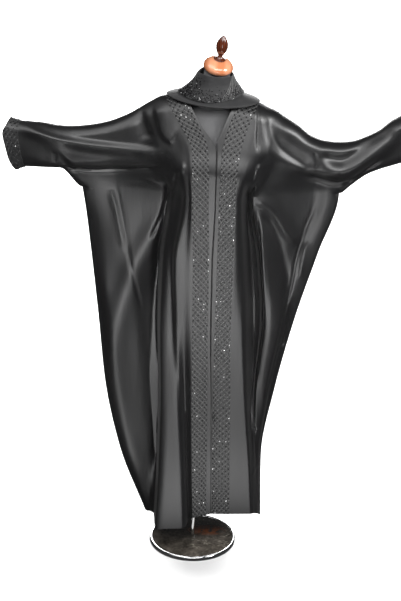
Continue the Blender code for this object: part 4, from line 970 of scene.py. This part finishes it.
def floor_material():
    m, nt, p, links = new_material("pale_floor")
    xyz = object_coords(nt)
    tone = noise(nt, 1.5, 3.0, 0.5, xyz)
    r = ramp(nt, tone.outputs["Fac"], [(0.3, (0.86, 0.86, 0.86)), (0.7, (0.88, 0.88, 0.88))])
    links.new(r.outputs["Color"], p.inputs["Base Color"])
    p.inputs["Roughness"].default_value = 0.8
    return m


# ---------------------------------------------------------------- garment
SATIN = satin_material()
BANDS = band_material()
BEADS = bead_material()
GLINT_PAINT = glint_paint_material()
THREAD = thread_material()
WRAPS = wrap_material()
JERSEY = jersey_material()
HONEY = wood_material("honey_wood", (0.66, 0.23, 0.10), (0.86, 0.37, 0.20), 6.0)
RED = wood_material("red_wood", (0.045, 0.008, 0.003), (0.16, 0.034, 0.010), 70.0)
CHROME = chrome_material()
MARBLE = marble_material()


def with_slot(obj, slot, *nodes):
    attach(obj, "root")
    if nodes:
        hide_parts(*nodes)
    return obj


def front_piece(name, half):
    panel = Panel(half, "front")
    quads = panel.quads()
    pts = panel.points
    if half.side > 0:
        pts, quads = underlap(panel, quads)
    normals = flatten_seam(fast_normals(pts, tri(quads)), panel.seam())
    panel.points, panel.normals = pts, normals
    obj = sheet_wall(name, pts, quads, normals, 0.0, -CLOTH, SATIN, half=-1)
    return with_slot(obj, "black_satin", name), panel


def underlap(panel, quads):
    """The right front's edge strip under the left front."""
    pts = panel.points.copy()
    line = np.concatenate([panel.body[:, 0], panel.upper[1:, 0]])
    z = pts[line, 2]
    lap = FRONT_LAP - (FRONT_LAP - 4.0) * smooth(1400, 1450, z)
    step = LAP_STEP * (1 - smooth(1425, 1465, z))
    pts[line, 1] += step
    rows = [line]
    new = []
    for part in (0.5, 1.0):
        extra = pts[line].copy()
        extra[:, 0] -= lap * part
        start = len(pts) + sum(len(n) for n in new)
        rows.insert(0, np.arange(start, start + len(line)))
        new.append(extra)
    pts = np.vstack([pts] + new)
    grid = np.stack(rows, axis=1)
    return pts, np.vstack([quads, quads_of(grid, False)])


def back_piece(left, right):
    pl, pr = Panel(left, "back"), Panel(right, "back")
    shift = len(pl.points)
    rows_u = pl.upper.shape[0]
    for panel in (pl, pr):
        pts, ui = panel.points, panel.upper
        last = panel.half.col_of["band_in"]
        foot = pts[ui[0, 0], 0]
        for r in range(1, rows_u):
            v = panel.half.upper_v[r]
            side = pts[ui[r, last]]
            mx = foot + (BACK_NECK_X - foot) * v
            md = float(cubic((0, .25, .5, .75, 1), BACK_NECK_DEPTHS, v))
            for c in range(last):
                s = c / last
                crown = BACK_NECK_Z + (pts[ui[rows_u - 1, last], 2] - BACK_NECK_Z) * s ** 2
                bend = math.cos(s * math.pi / 2)
                bend += (bend ** 4 - bend) * (1 - smooth(0.86, 0.98, v))
                pts[ui[r, c]] = (mx + (side[0] - mx) * math.sin(s * math.pi / 2),
                                 side[1] + (md - side[1]) * bend,
                                 ARM_ROW + v * (crown - ARM_ROW))
    pr.body, pr.upper = pr.body + shift, pr.upper + shift
    points = np.vstack([pl.points, pr.points])
    quads = np.vstack([pl.quads(), pr.quads()])
    join = np.arange(len(points))
    join[pr.body[:, 0]] = pl.body[:, 0]
    join[pr.upper[:, 0]] = pl.upper[:, 0]
    quads = join[quads]
    normals = fast_normals(points, tri(quads))
    neck = set(pl.upper[-1, :left.col_of["band_in"]]) | set(pr.upper[-1, :right.col_of["band_in"]])
    normals = flatten_seam(normals, (pl.seam() | pr.seam()) - neck)
    obj = sheet_wall("back", points, quads, normals, 0.0, -CLOTH, SATIN, half=1)
    for p in (pl, pr):
        p.points, p.normals = points, normals
    return with_slot(obj, "black_satin", "back"), pl, pr


def band_grid(panel, first, last, lift, trim=2):
    idx = panel.columns(first, last)[:-trim]
    return panel.points[idx] * MM + panel.normals[idx] * lift, panel.normals[idx]


def grid_sheet(name, pos, nrm, thick, mat, flip, closed=False):
    rows, cols = pos.shape[:2]
    idx = np.arange(rows * cols).reshape(rows, cols)
    if closed:
        idx = np.hstack([idx, idx[:, :1]])
    q = quads_of(idx, flip)
    return sheet_wall(name, pos.reshape(-1, 3) / MM, q, nrm.reshape(-1, 3), 0.0, thick, mat)


class Surface:
    """A strip of cloth measured along (t, in metres) and across (s, 0 to 1)."""

    def __init__(self, pos, nrm):
        self.pos, self.nrm = pos, nrm
        mid = pos[:, pos.shape[1] // 2]
        self.t = np.r_[0, np.cumsum(np.linalg.norm(np.diff(mid, axis=0), axis=1))]
        self.length = self.t[-1]

    def at(self, t, s):
        """Points and normals at arrays t (metres) and s (0 to 1)."""
        r = np.interp(t, self.t, np.arange(len(self.t)))
        c = np.asarray(s) * (self.pos.shape[1] - 1)
        r0 = np.clip(np.floor(r).astype(int), 0, self.pos.shape[0] - 2)
        c0 = np.clip(np.floor(c).astype(int), 0, self.pos.shape[1] - 2)
        fr, fc = (r - r0)[:, None], (c - c0)[:, None]

        def mix(a):
            return ((a[r0, c0] * (1 - fc) + a[r0, c0 + 1] * fc) * (1 - fr)
                    + (a[r0 + 1, c0] * (1 - fc) + a[r0 + 1, c0 + 1] * fc) * fr)
        p, n = mix(self.pos), mix(self.nrm)
        return p, n / np.linalg.norm(n, axis=1)[:, None]

    def width(self, t):
        a, _ = self.at(np.atleast_1d(t), np.zeros(np.size(t)))
        b, _ = self.at(np.atleast_1d(t), np.ones(np.size(t)))
        return np.linalg.norm(a - b, axis=1)


def frames_for(n):
    up = np.tile(np.array([0.0, 0.0, 1.0]), (len(n), 1))
    u = np.cross(up, n)
    bad = np.linalg.norm(u, axis=1) < 1e-6
    u[bad] = (1, 0, 0)
    u /= np.linalg.norm(u, axis=1)[:, None]
    return u, np.cross(n, u)


def bead_mesh(name, centres, normals, radii, mat, sides=7, squash=0.8):
    """Faceted beads joined in one mesh: a crown of facets over a girdle."""
    u, v = frames_for(normals)
    ang = np.arange(sides) * math.tau / sides
    rings = ((1.0, 0.0), (0.86, 0.55), (0.45, 0.9))
    verts, faces = [], []
    per = sides * len(rings) + 2
    for k, (c, n, r) in enumerate(zip(centres, normals, radii)):
        base = k * per
        pts = [c - n * r * squash * 0.55]
        for rr, h in rings:
            for a in ang + 0.37 * k:
                pts.append(c + (u[k] * math.cos(a) + v[k] * math.sin(a)) * r * rr + n * r * squash * h)
        pts.append(c + n * r * squash)
        verts.extend(pts)
        for i in range(sides):
            j = (i + 1) % sides
            faces.append((base, base + 1 + j, base + 1 + i))
            for g in range(len(rings) - 1):
                o = base + 1 + g * sides
                faces.append((o + i, o + j, o + sides + j, o + sides + i))
            o = base + 1 + (len(rings) - 1) * sides
            faces.append((o + i, o + j, base + per - 1))
    return mesh_object(name, verts, faces, mat, 20)


def rod_mesh(name, starts, ends, normals, radius, mat, sides=5):
    """Short straight stitches joined in one mesh."""
    verts, faces = [], []
    per = 2 * sides
    for k, (a, b, n) in enumerate(zip(starts, ends, normals)):
        d = b - a
        length = np.linalg.norm(d)
        if length < 1e-9:
            continue
        d = d / length
        w = np.cross(n, d)
        w /= np.linalg.norm(w)
        m = np.cross(d, w)
        base = len(verts)
        for p in (a, b):
            for i in range(sides):
                t = math.tau * i / sides
                verts.append(p + (w * math.cos(t) + m * math.sin(t) * 0.7) * radius)
        for i in range(sides):
            j = (i + 1) % sides
            faces.append((base + i, base + j, base + sides + j, base + sides + i))
        faces.append(tuple(base + i for i in reversed(range(sides))))
        faces.append(tuple(base + sides + i for i in range(sides)))
    return mesh_object(name, verts, faces, mat)


DIAMOND_W, DIAMOND_H = 14.5, 19.0       # lattice of the beading, mm


def lattice(surface, margin=0.004):
    """Nodes of the diamond lattice and the middles of its cells, as (t, s) pairs."""
    rows = int((surface.length - 2 * margin) / (DIAMOND_H * MM / 2))
    nodes, cells = [], []
    for r in range(rows + 1):
        t = margin + r * DIAMOND_H * MM / 2
        w = float(surface.width(t)[0])
        n = max(2, round((w - 2 * margin) / (DIAMOND_W * MM)))
        step = (w - 2 * margin) / n
        # even rows hold n + 1 beads, odd rows n between them; cells lie between beads
        for c in range(n + 1):
            s = (margin + c * step) / w
            half = (margin + (c + 0.5) * step) / w
            (nodes if r % 2 == 0 else cells).append((t, s))
            if c < n:
                (cells if r % 2 == 0 else nodes).append((t, half))
    return np.array(nodes), np.array(cells)


def bead_band(name, surface, lean, slot, rng, sparkle=0.045, big=2.6, threads=1.0, thread_r=0.8):
    """Dark beads at the lattice's nodes, a few pale ones as painted glints, pale stitches slanting through its cells.
    """
    nodes, cells = lattice(surface)
    pos, nrm = surface.at(nodes[:, 0], nodes[:, 1])
    radii = rng.uniform(0.86, 1.1, len(pos)) * big * MM
    # beads picked at random get the pale colour that paints a glint
    bright = rng.random(len(pos)) < sparkle
    beads = bead_mesh(name + "_beads", pos[~bright] + nrm[~bright] * 0.0006, nrm[~bright], radii[~bright], BEADS)
    with_slot(beads, slot)
    pieces = [beads]
    if bright.any():
        glints = bead_mesh(name + "_painted_glints", pos[bright] + nrm[bright] * 0.0008, nrm[bright], radii[bright] * 0.85, GLINT_PAINT)
        pieces.append(with_slot(glints, slot))

    def stitches(label, at, slant, reach, radius):
        t, s = at[:, 0], at[:, 1]
        w = surface.width(t)
        dt = DIAMOND_H * MM / 2 * reach
        ds = slant * DIAMOND_W * MM / 2 * reach / w
        inside = (np.abs(s - 0.5) + np.abs(ds) < 0.5) & (t - dt > 0) & (t + dt < surface.length)
        t, s, ds = t[inside], s[inside], ds[inside]
        a, n = surface.at(t - dt, s - ds)
        b, _ = surface.at(t + dt, s + ds)
        rods = rod_mesh(name + label, a + n * radius * 0.4, b + n * radius * 0.4, n, radius, THREAD)
        pieces.append(with_slot(rods, slot))
    stitches("_stitches", cells[rng.random(len(cells)) < threads], lean, 0.46, thread_r * MM)
    faint = cells[rng.random(len(cells)) < 0.3]
    stitches("_stitches_cross", faint, -lean, 0.30, thread_r * 0.6 * MM)
    return pieces


def tube_mesh(name, points, normals, radius, mat, sides=8):
    """A soft cord or rolled edge along a line of points."""
    p = np.asarray(points, float)
    d = np.gradient(p, axis=0)
    d /= np.linalg.norm(d, axis=1)[:, None]
    w = np.cross(normals, d)
    w /= np.linalg.norm(w, axis=1)[:, None]
    m = np.cross(d, w)
    ang = np.arange(sides) * math.tau / sides
    ring = p[:, None] + (w[:, None] * np.cos(ang)[None, :, None] + m[:, None] * np.sin(ang)[None, :, None]) * radius
    idx = np.arange(len(p) * sides).reshape(len(p), sides)
    closed = np.hstack([idx, idx[:, :1]])
    faces = [tuple(q) for q in quads_of(closed, False)]
    faces += [tuple(idx[0]), tuple(idx[-1][::-1])]
    obj = mesh_object(name, ring.reshape(-1, 3), faces, mat)
    bm = bmesh.new()
    bm.from_mesh(obj.data)
    bmesh.ops.recalc_face_normals(bm, faces=bm.faces)
    bm.to_mesh(obj.data)
    bm.free()
    return obj


make_camera()
left = FineHalf(-1, LEFT_BODY, LEFT_UPPER, LEFT_SLEEVE, FINE_LEFT, FINE_BODY_ROWS, FINE_UPPER_ROWS)
right = FineHalf(1, RIGHT_BODY, RIGHT_UPPER, RIGHT_SLEEVE, FINE_RIGHT, FINE_BODY_ROWS, FINE_UPPER_ROWS)
rear_left = FineHalf(-1, LEFT_BODY, LEFT_UPPER, LEFT_SLEEVE, FINE_LEFT, REAR_BODY_ROWS, REAR_UPPER_ROWS)
rear_right = FineHalf(1, RIGHT_BODY, RIGHT_UPPER, RIGHT_SLEEVE, FINE_RIGHT, REAR_BODY_ROWS, REAR_UPPER_ROWS)

front_left, panel_l = front_piece("front_left", left)
front_right, panel_r = front_piece("front_right", right)
back, rear_l, rear_r = back_piece(rear_left, rear_right)

rng = np.random.default_rng(11)
for name, half, panel, lean in (("band_left", left, panel_l, -1), ("band_right", right, panel_r, 1)):
    a, b = half.col_of["band_in"], half.col_of["band_out"]
    pos, nrm = band_grid(panel, a, b, LAP_GAP)
    band = grid_sheet(name, pos, nrm, BAND, BANDS, flip=half.side < 0)
    with_slot(band, "beaded_lattice", name)
    top = Surface(pos + nrm * BAND, nrm)
    if half.side < 0:                       # measured from the viewer's left edge
        top = Surface((pos + nrm * BAND)[:, ::-1], nrm[:, ::-1])
    bead_band(name, top, lean, "beaded_lattice", rng)

for name, half, front, rear in (("cuff_left", left, panel_l, rear_l), ("cuff_right", right, panel_r, rear_r)):
    a, b = half.col_of["cuff_in"], half.col_of["cuff_end"]
    f = front.upper[:, a:b + 1]
    g = rear.upper[1:-1, a:b + 1][::-1]
    pf, pg = front.points[f].copy(), rear.points[g]
    pf[[0, -1], :, 1] = 0.0
    pos = np.vstack([pf, pg]) * MM
    nrm = np.vstack([front.normals[f], rear.normals[g]])
    pos = pos + nrm * LAP_GAP
    ring_first = np.swapaxes(pos, 0, 1)
    ring_nrm = np.swapaxes(nrm, 0, 1)
    cuff = grid_sheet(name, ring_first, ring_nrm, BAND, BANDS, flip=half.side > 0, closed=True)
    with_slot(cuff, "beaded_lattice", name)
    loop = np.vstack([pos, pos[:1]]) + np.vstack([nrm, nrm[:1]]) * BAND
    surface = Surface(loop, np.vstack([nrm, nrm[:1]]))
    bead_band(name, surface, half.side, "beaded_lattice", rng, 0.03, 1.9, 0.6, 0.4)


# ---------------------------------------------------------------- neck wrap
def ring_surface(table, rings, sides):
    """Smooth skin through the wrap's rings."""
    rows = np.array(table, float)
    k = np.arange(len(rows))
    at = np.linspace(0, len(rows) - 1, rings)
    smooth_rows = np.stack([spline(k, rows[:, j], at) for j in range(rows.shape[1])], axis=1)
    pts = []
    for row in smooth_rows:
        pts.append(wrap_ring(tuple(row), sides))
    return np.array(pts)


def wrap_ring(row, sides, turn=0.0):
    mid_x, mid_y, half_w, front, back_d, z_left, z_right, z_front, z_back = row
    ring = []
    for i in range(sides):
        a = math.tau * (i + turn) / sides
        c, s = math.cos(a), math.sin(a)
        deep = front if s < 0 else back_d
        z_side = (z_left + z_right) / 2 + (z_right - z_left) / 2 * c
        z_deep = z_front if s < 0 else z_back
        z = z_side + (z_deep - (z_left + z_right) / 2) * s * s
        ring.append((mid_x + half_w * c, mid_y + deep * s, z))
    return ring


def wrap_piece(name, table, rings, sides):
    grid = ring_surface(table, rings, sides)
    flat = grid.reshape(-1, 3)
    idx = np.arange(len(flat)).reshape(rings, sides)
    closed = np.hstack([idx, idx[:, :1]])
    quads = quads_of(closed, True)
    nrm = fast_normals(flat, tri(quads))
    obj = sheet_wall(name, flat, quads, nrm, 0.0, -WRAP, WRAPS)
    return with_slot(obj, "wrap_cloth", name), grid, nrm.reshape(rings, sides, 3)


wrap_upper, upper_grid, upper_nrm = wrap_piece("wrap_upper", WRAP_UPPER, 60, 160)
wrap_lower, lower_grid, lower_nrm = wrap_piece("wrap_lower", WRAP_LOWER, 40, 180)


def wrap_front(grid, nrm, u, v):
    """Points and normals on the wrap's front, u from the viewer's left edge, v up from the lower edge."""
    rings, sides = grid.shape[:2]
    col = (0.5 + 0.5 * np.asarray(u, float)) * sides
    row = (1 - np.asarray(v, float)) * (rings - 1)
    c, r = np.floor(col).astype(int), np.minimum(np.floor(row).astype(int), rings - 2)
    fc, fr = (col - c)[..., None], (row - r)[..., None]

    def pick(a):
        low = a[r, c % sides] * (1 - fc) + a[r, (c + 1) % sides] * fc
        high = a[r + 1, c % sides] * (1 - fc) + a[r + 1, (c + 1) % sides] * fc
        return low * (1 - fr) + high * fr
    n = pick(nrm)
    return pick(grid) * MM, n / np.linalg.norm(n, axis=-1, keepdims=True)


def wrap_beads(grid, nrm, count, rng):
    """Small beads, thick along the lower edge at the viewer's left and thinning to the right; a few pale ones are
    painted glints.
    """
    u, v = rng.uniform(0.02, 0.97, count), rng.uniform(0.03, 0.95, count)
    left = np.exp(-((u - 0.12) / 0.27) ** 2)
    thick = np.exp(-((v - 0.20 - 0.08 * left) / (0.20 + 0.12 * left)) ** 2) * (0.25 + 0.75 * left)
    keep = rng.random(count) < thick
    pos, n = wrap_front(grid, nrm, u[keep], v[keep])
    radii = rng.uniform(1.3, 2.1, len(pos)) * MM
    # beads picked at random get the pale colour that paints a glint
    bright = rng.random(len(pos)) < 0.035
    dark = bead_mesh("wrap_beads", pos[~bright], n[~bright], radii[~bright], BEADS, sides=6)
    pale = bead_mesh("wrap_painted_glints", pos[bright], n[bright], radii[bright] * 0.8, GLINT_PAINT, sides=6)
    return [with_slot(dark, "wrap_cloth"), with_slot(pale, "wrap_cloth")]


def wrap_cords(grid, nrm):
    """Slanting gathered ridges at the viewer's right."""
    cords = []
    for k, (start, lean, foot, head, radius) in enumerate(WRAP_RIDGES):
        t = np.linspace(0, 1, 26)
        pos, n = wrap_front(grid, nrm, start + lean * t, foot + (head - foot) * t)
        pos = pos + n * (radius * MM * (0.30 - 0.9 * (2 * t[:, None] - 1) ** 4))
        cords.append(with_slot(tube_mesh("wrap_ridge_%d" % k, pos, n, radius * MM, THREAD), "wrap_cloth"))
    return cords


# start across, lean across, foot and head up the wrap, radius in mm
WRAP_RIDGES = (
    (0.60, 0.14, 0.14, 0.50, 0.6), (0.63, 0.15, 0.28, 0.68, 0.8), (0.67, 0.14, 0.24, 0.74, 0.7),
    (0.70, 0.14, 0.16, 0.80, 0.9), (0.75, 0.11, 0.18, 0.84, 0.7), (0.80, 0.09, 0.14, 0.86, 0.8),
    (0.85, 0.06, 0.20, 0.84, 0.6),
)
upper_parts = wrap_beads(upper_grid, upper_nrm, 2600, np.random.default_rng(23)) + wrap_cords(upper_grid, upper_nrm)


# ---------------------------------------------------------------- form
def turned(name, profile, steps, mat, place=Matrix.Identity(4), slot=None, node=None):
    verts, faces = [], []
    rows = len(profile)
    for r, h in profile:
        for i in range(steps):
            a = math.tau * i / steps
            verts.append(place @ Vector((r * MM * math.cos(a), r * MM * math.sin(a), h * MM)))
    for k in range(rows - 1):
        for i in range(steps):
            j = (i + 1) % steps
            faces.append((k * steps + i, (k + 1) * steps + i, (k + 1) * steps + j, k * steps + j))
    obj = mesh_object(name, verts, faces, mat)
    bm = bmesh.new()
    bm.from_mesh(obj.data)
    bmesh.ops.remove_doubles(bm, verts=bm.verts, dist=1e-6)
    bmesh.ops.dissolve_degenerate(bm, dist=1e-6, edges=bm.edges)
    bmesh.ops.recalc_face_normals(bm, faces=bm.faces)
    bm.to_mesh(obj.data)
    bm.free()
    obj.data.shade_smooth()
    obj.data.set_sharp_from_angle(angle=math.radians(38))
    return with_slot(obj, slot, node or name)


def axis_matrix(origin):
    lean = Matrix.Rotation(math.radians(NECK_LEAN), 4, "Y")
    nod = Matrix.Rotation(math.radians(NECK_NOD), 4, "X")
    return Matrix.Translation(Vector(origin) * MM) @ lean @ nod


def fine_profile(rows, n):
    rows = np.array(rows, float)
    k = np.arange(len(rows))
    at = np.linspace(0, len(rows) - 1, n)
    return [(max(0.0, float(a)), float(b)) for a, b in zip(cubic(k, rows[:, 0], at), cubic(k, rows[:, 1], at))]


def torso_ring(row, sides):
    z, mid_x, mid_y, half, front, back_d, lean, nod = row
    turn = (Matrix.Rotation(math.radians(lean), 3, "Y") @ Matrix.Rotation(math.radians(nod), 3, "X"))
    ring = []
    for i in range(sides):
        a = math.tau * i / sides
        c, s = math.cos(a), math.sin(a)
        e = 2 / TORSO_POWER
        x = half * math.copysign(abs(c) ** e, c)
        y = (front if s < 0 else back_d) * math.copysign(abs(s) ** e, s)
        ring.append(Vector((mid_x, mid_y, z)) + turn @ Vector((x, y, 0)))
    return ring


def torso_piece():
    rows = np.array([r[1:] for r in TORSO], float)
    k = np.arange(len(rows))
    at = np.linspace(0, len(rows) - 1, 110)
    fine = np.stack([cubic(k, rows[:, j], at) for j in range(rows.shape[1])], axis=1)
    sides = 96
    bm = bmesh.new()
    loops = [[bm.verts.new(p * MM) for p in torso_ring(tuple(r), sides)] for r in fine]
    for low, high in zip(loops, loops[1:]):
        for i in range(sides):
            j = (i + 1) % sides
            bm.faces.new((low[i], low[j], high[j], high[i]))
    bm.faces.new(list(reversed(loops[0])))
    bm.faces.new(loops[-1])
    bmesh.ops.recalc_face_normals(bm, faces=bm.faces)
    mesh = bpy.data.meshes.new("form_torso_cover")
    bm.to_mesh(mesh)
    bm.free()
    mesh.shade_smooth()
    mesh.set_sharp_from_angle(angle=math.radians(50))
    mesh.materials.append(JERSEY)
    obj = bpy.data.objects.new("form_torso_cover", mesh)
    bpy.context.scene.collection.objects.link(obj)
    return with_slot(obj, "form_cover", "form_torso")


torso_piece()
cap_rows = [(0.0, CAP_FLAT_TOP), (CAP_R * 0.30, CAP_FLAT_TOP)]
top, low = math.asin(CAP_FLAT_TOP / CAP_H), math.asin(CAP_FLAT_LOW / CAP_H)
cap_rows += [(CAP_R * math.cos(top + (low - top) * i / 40), CAP_H * math.sin(top + (low - top) * i / 40)) for i in range(41)]
cap_rows += [(0.0, CAP_FLAT_LOW)]
turned("neck_cap_turned", cap_rows, 96, HONEY, axis_matrix(CAP_CENTRE), "honey_wood", "neck_cap")
lift = axis_matrix(CAP_CENTRE) @ Matrix.Translation((0, 0, (CAP_FLAT_TOP + 0.3) * MM))
turned("finial_turned", [(0.0, 82.6)] + fine_profile(list(reversed(FINIAL)), 90) + [(0.0, 0.0)], 72, RED, lift, "red_wood", "finial")

foot, head = Vector(POLE_FOOT) * MM, Vector(POLE_HEAD) * MM
run = head - foot
tilt = Matrix.Translation(foot + Vector((0, 0, SEAM_GAP + POLE_R * MM * math.sin(math.atan2(run.x, run.z))))) @ Matrix.Rotation(math.atan2(run.x, run.z), 4, "Y")
long_mm = run.length / MM - 0.4
pole_tube = turned("pole_tube", [(0, long_mm), (POLE_R - 0.6, long_mm), (POLE_R, long_mm - 0.6), (POLE_R, 0.6), (POLE_R - 0.6, 0), (0, 0)], 64, CHROME, tilt, "chrome", "pole")
slab_r = BASE_R - RIM_W - 0.3
turned("base_slab_stone", [(0, BASE_H), (slab_r - 1, BASE_H), (slab_r - 0.3, BASE_H - 0.3), (slab_r, BASE_H - 1), (slab_r, 0), (0, 0)], 160, MARBLE, slot="marble", node="base_slab")
inner = BASE_R - RIM_W
rim = [(inner, 0.0), (inner, BASE_H - 1), (inner + 0.4, BASE_H), (inner + 1.4, BASE_H + 0.6), (inner + 4, BASE_H + 1.0),
       (BASE_R - 3.0, BASE_H + 0.4), (BASE_R - 1.6, BASE_H - 0.6), (BASE_R - 0.4, BASE_H - 1.8), (BASE_R, BASE_H - 3.0),
       (BASE_R, 2.0), (BASE_R - 0.3, 1.0), (BASE_R - 1.0, 0.0), (inner, 0.0)]
turned("base_rim_ring", rim, 160, CHROME, slot="chrome", node="base_rim")


# ---------------------------------------------------------------- stage and light
def make_stage():
    bpy.ops.mesh.primitive_plane_add(size=40.0, location=(0, 8, 0))
    floor = bpy.context.active_object
    floor.name = "floor"
    floor.data.materials.append(floor_material())
    # the white floor stays out of the satin's reflections, as with a flagged studio floor
    floor.visible_glossy = False
    floor.visible_diffuse = False
    return floor


def area_light(name, place, aim, size, power, colour=(1, 1, 1), spread=180):
    data = bpy.data.lights.new(name, "AREA")
    data.shape = "RECTANGLE"
    data.size, data.size_y = size
    data.energy = power
    data.color = colour
    data.spread = math.radians(spread)
    obj = bpy.data.objects.new(name, data)
    obj.location = place
    obj.visible_camera = False
    obj.rotation_euler = (Vector(aim) - Vector(place)).to_track_quat("-Z", "Y").to_euler()
    bpy.context.scene.collection.objects.link(obj)
    return obj


def make_world():
    world = bpy.data.worlds.new("studio")
    world.use_nodes = True
    bg = world.node_tree.nodes["Background"]
    bg.inputs["Color"].default_value = (1.0, 1.0, 1.0, 1)
    bg.inputs["Strength"].default_value = 0.05
    bpy.context.scene.world = world
    bpy.context.scene.view_settings.view_transform = "Standard"


FLOOR = make_stage()
make_world()
# a broad light for the floor alone, pale cards low in front, high soft boxes and one behind
over = area_light("over_floor", (0, 6.0, 6.0), (0, 5.0, 0), (14.0, 9.0), 3000)
floor_only = bpy.data.collections.new("floor_only")
floor_only.objects.link(FLOOR)
over.light_linking.receiver_collection = floor_only
no_stone = bpy.data.collections.new("no_stone")
for piece in bpy.context.scene.objects:
    if piece.type == "MESH" and "slab" not in piece.name and piece is not FLOOR:
        no_stone.objects.link(piece)
near = area_light("card_near", (0.03, -0.80, 0.36), (0.03, 0.0, 0.65), (0.74, 0.72), 0.30, spread=36)
middle = area_light("card_middle", (0.04, -2.0, 0.52), (0.04, 0.0, 1.17), (0.80, 0.60), 0.70, spread=36)
low = area_light("card_low", (0.03, -0.56, 0.02), (0.03, -0.56, 2.0), (0.62, 0.34), 1.7)
for card in (near, middle, low):
    card.light_linking.receiver_collection = no_stone
# a small card on the base, for the pole's polish alone
pole_card = area_light("pole_card", (0.03, -0.19, 0.022), (0.03, -0.19, 2.0), (0.16, 0.30), 0.13)
pole_only = bpy.data.collections.new("pole_only")
pole_only.objects.link(pole_tube)
pole_card.light_linking.receiver_collection = pole_only
area_light("front_low", (0.10, -3.6, 0.75), (0.05, 0, 1.5), (1.0, 0.8), 0.8, spread=70)
area_light("front_high", (0.3, -2.7, 3.3), (0, 0, 1.4), (2.8, 1.2), 80)
area_light("top_left", (-1.1, -0.9, 3.3), (0.3, 0, 1.4), (1.8, 1.4), 22)
area_light("side_high", (2.7, -1.7, 2.9), (0.2, 0, 1.5), (1.2, 1.2), 88)
back_light = area_light("behind", (0.6, 3.4, 1.6), (0, 0, 0.9), (2.4, 1.8), 140)
back_light.light_linking.receiver_collection = no_stone
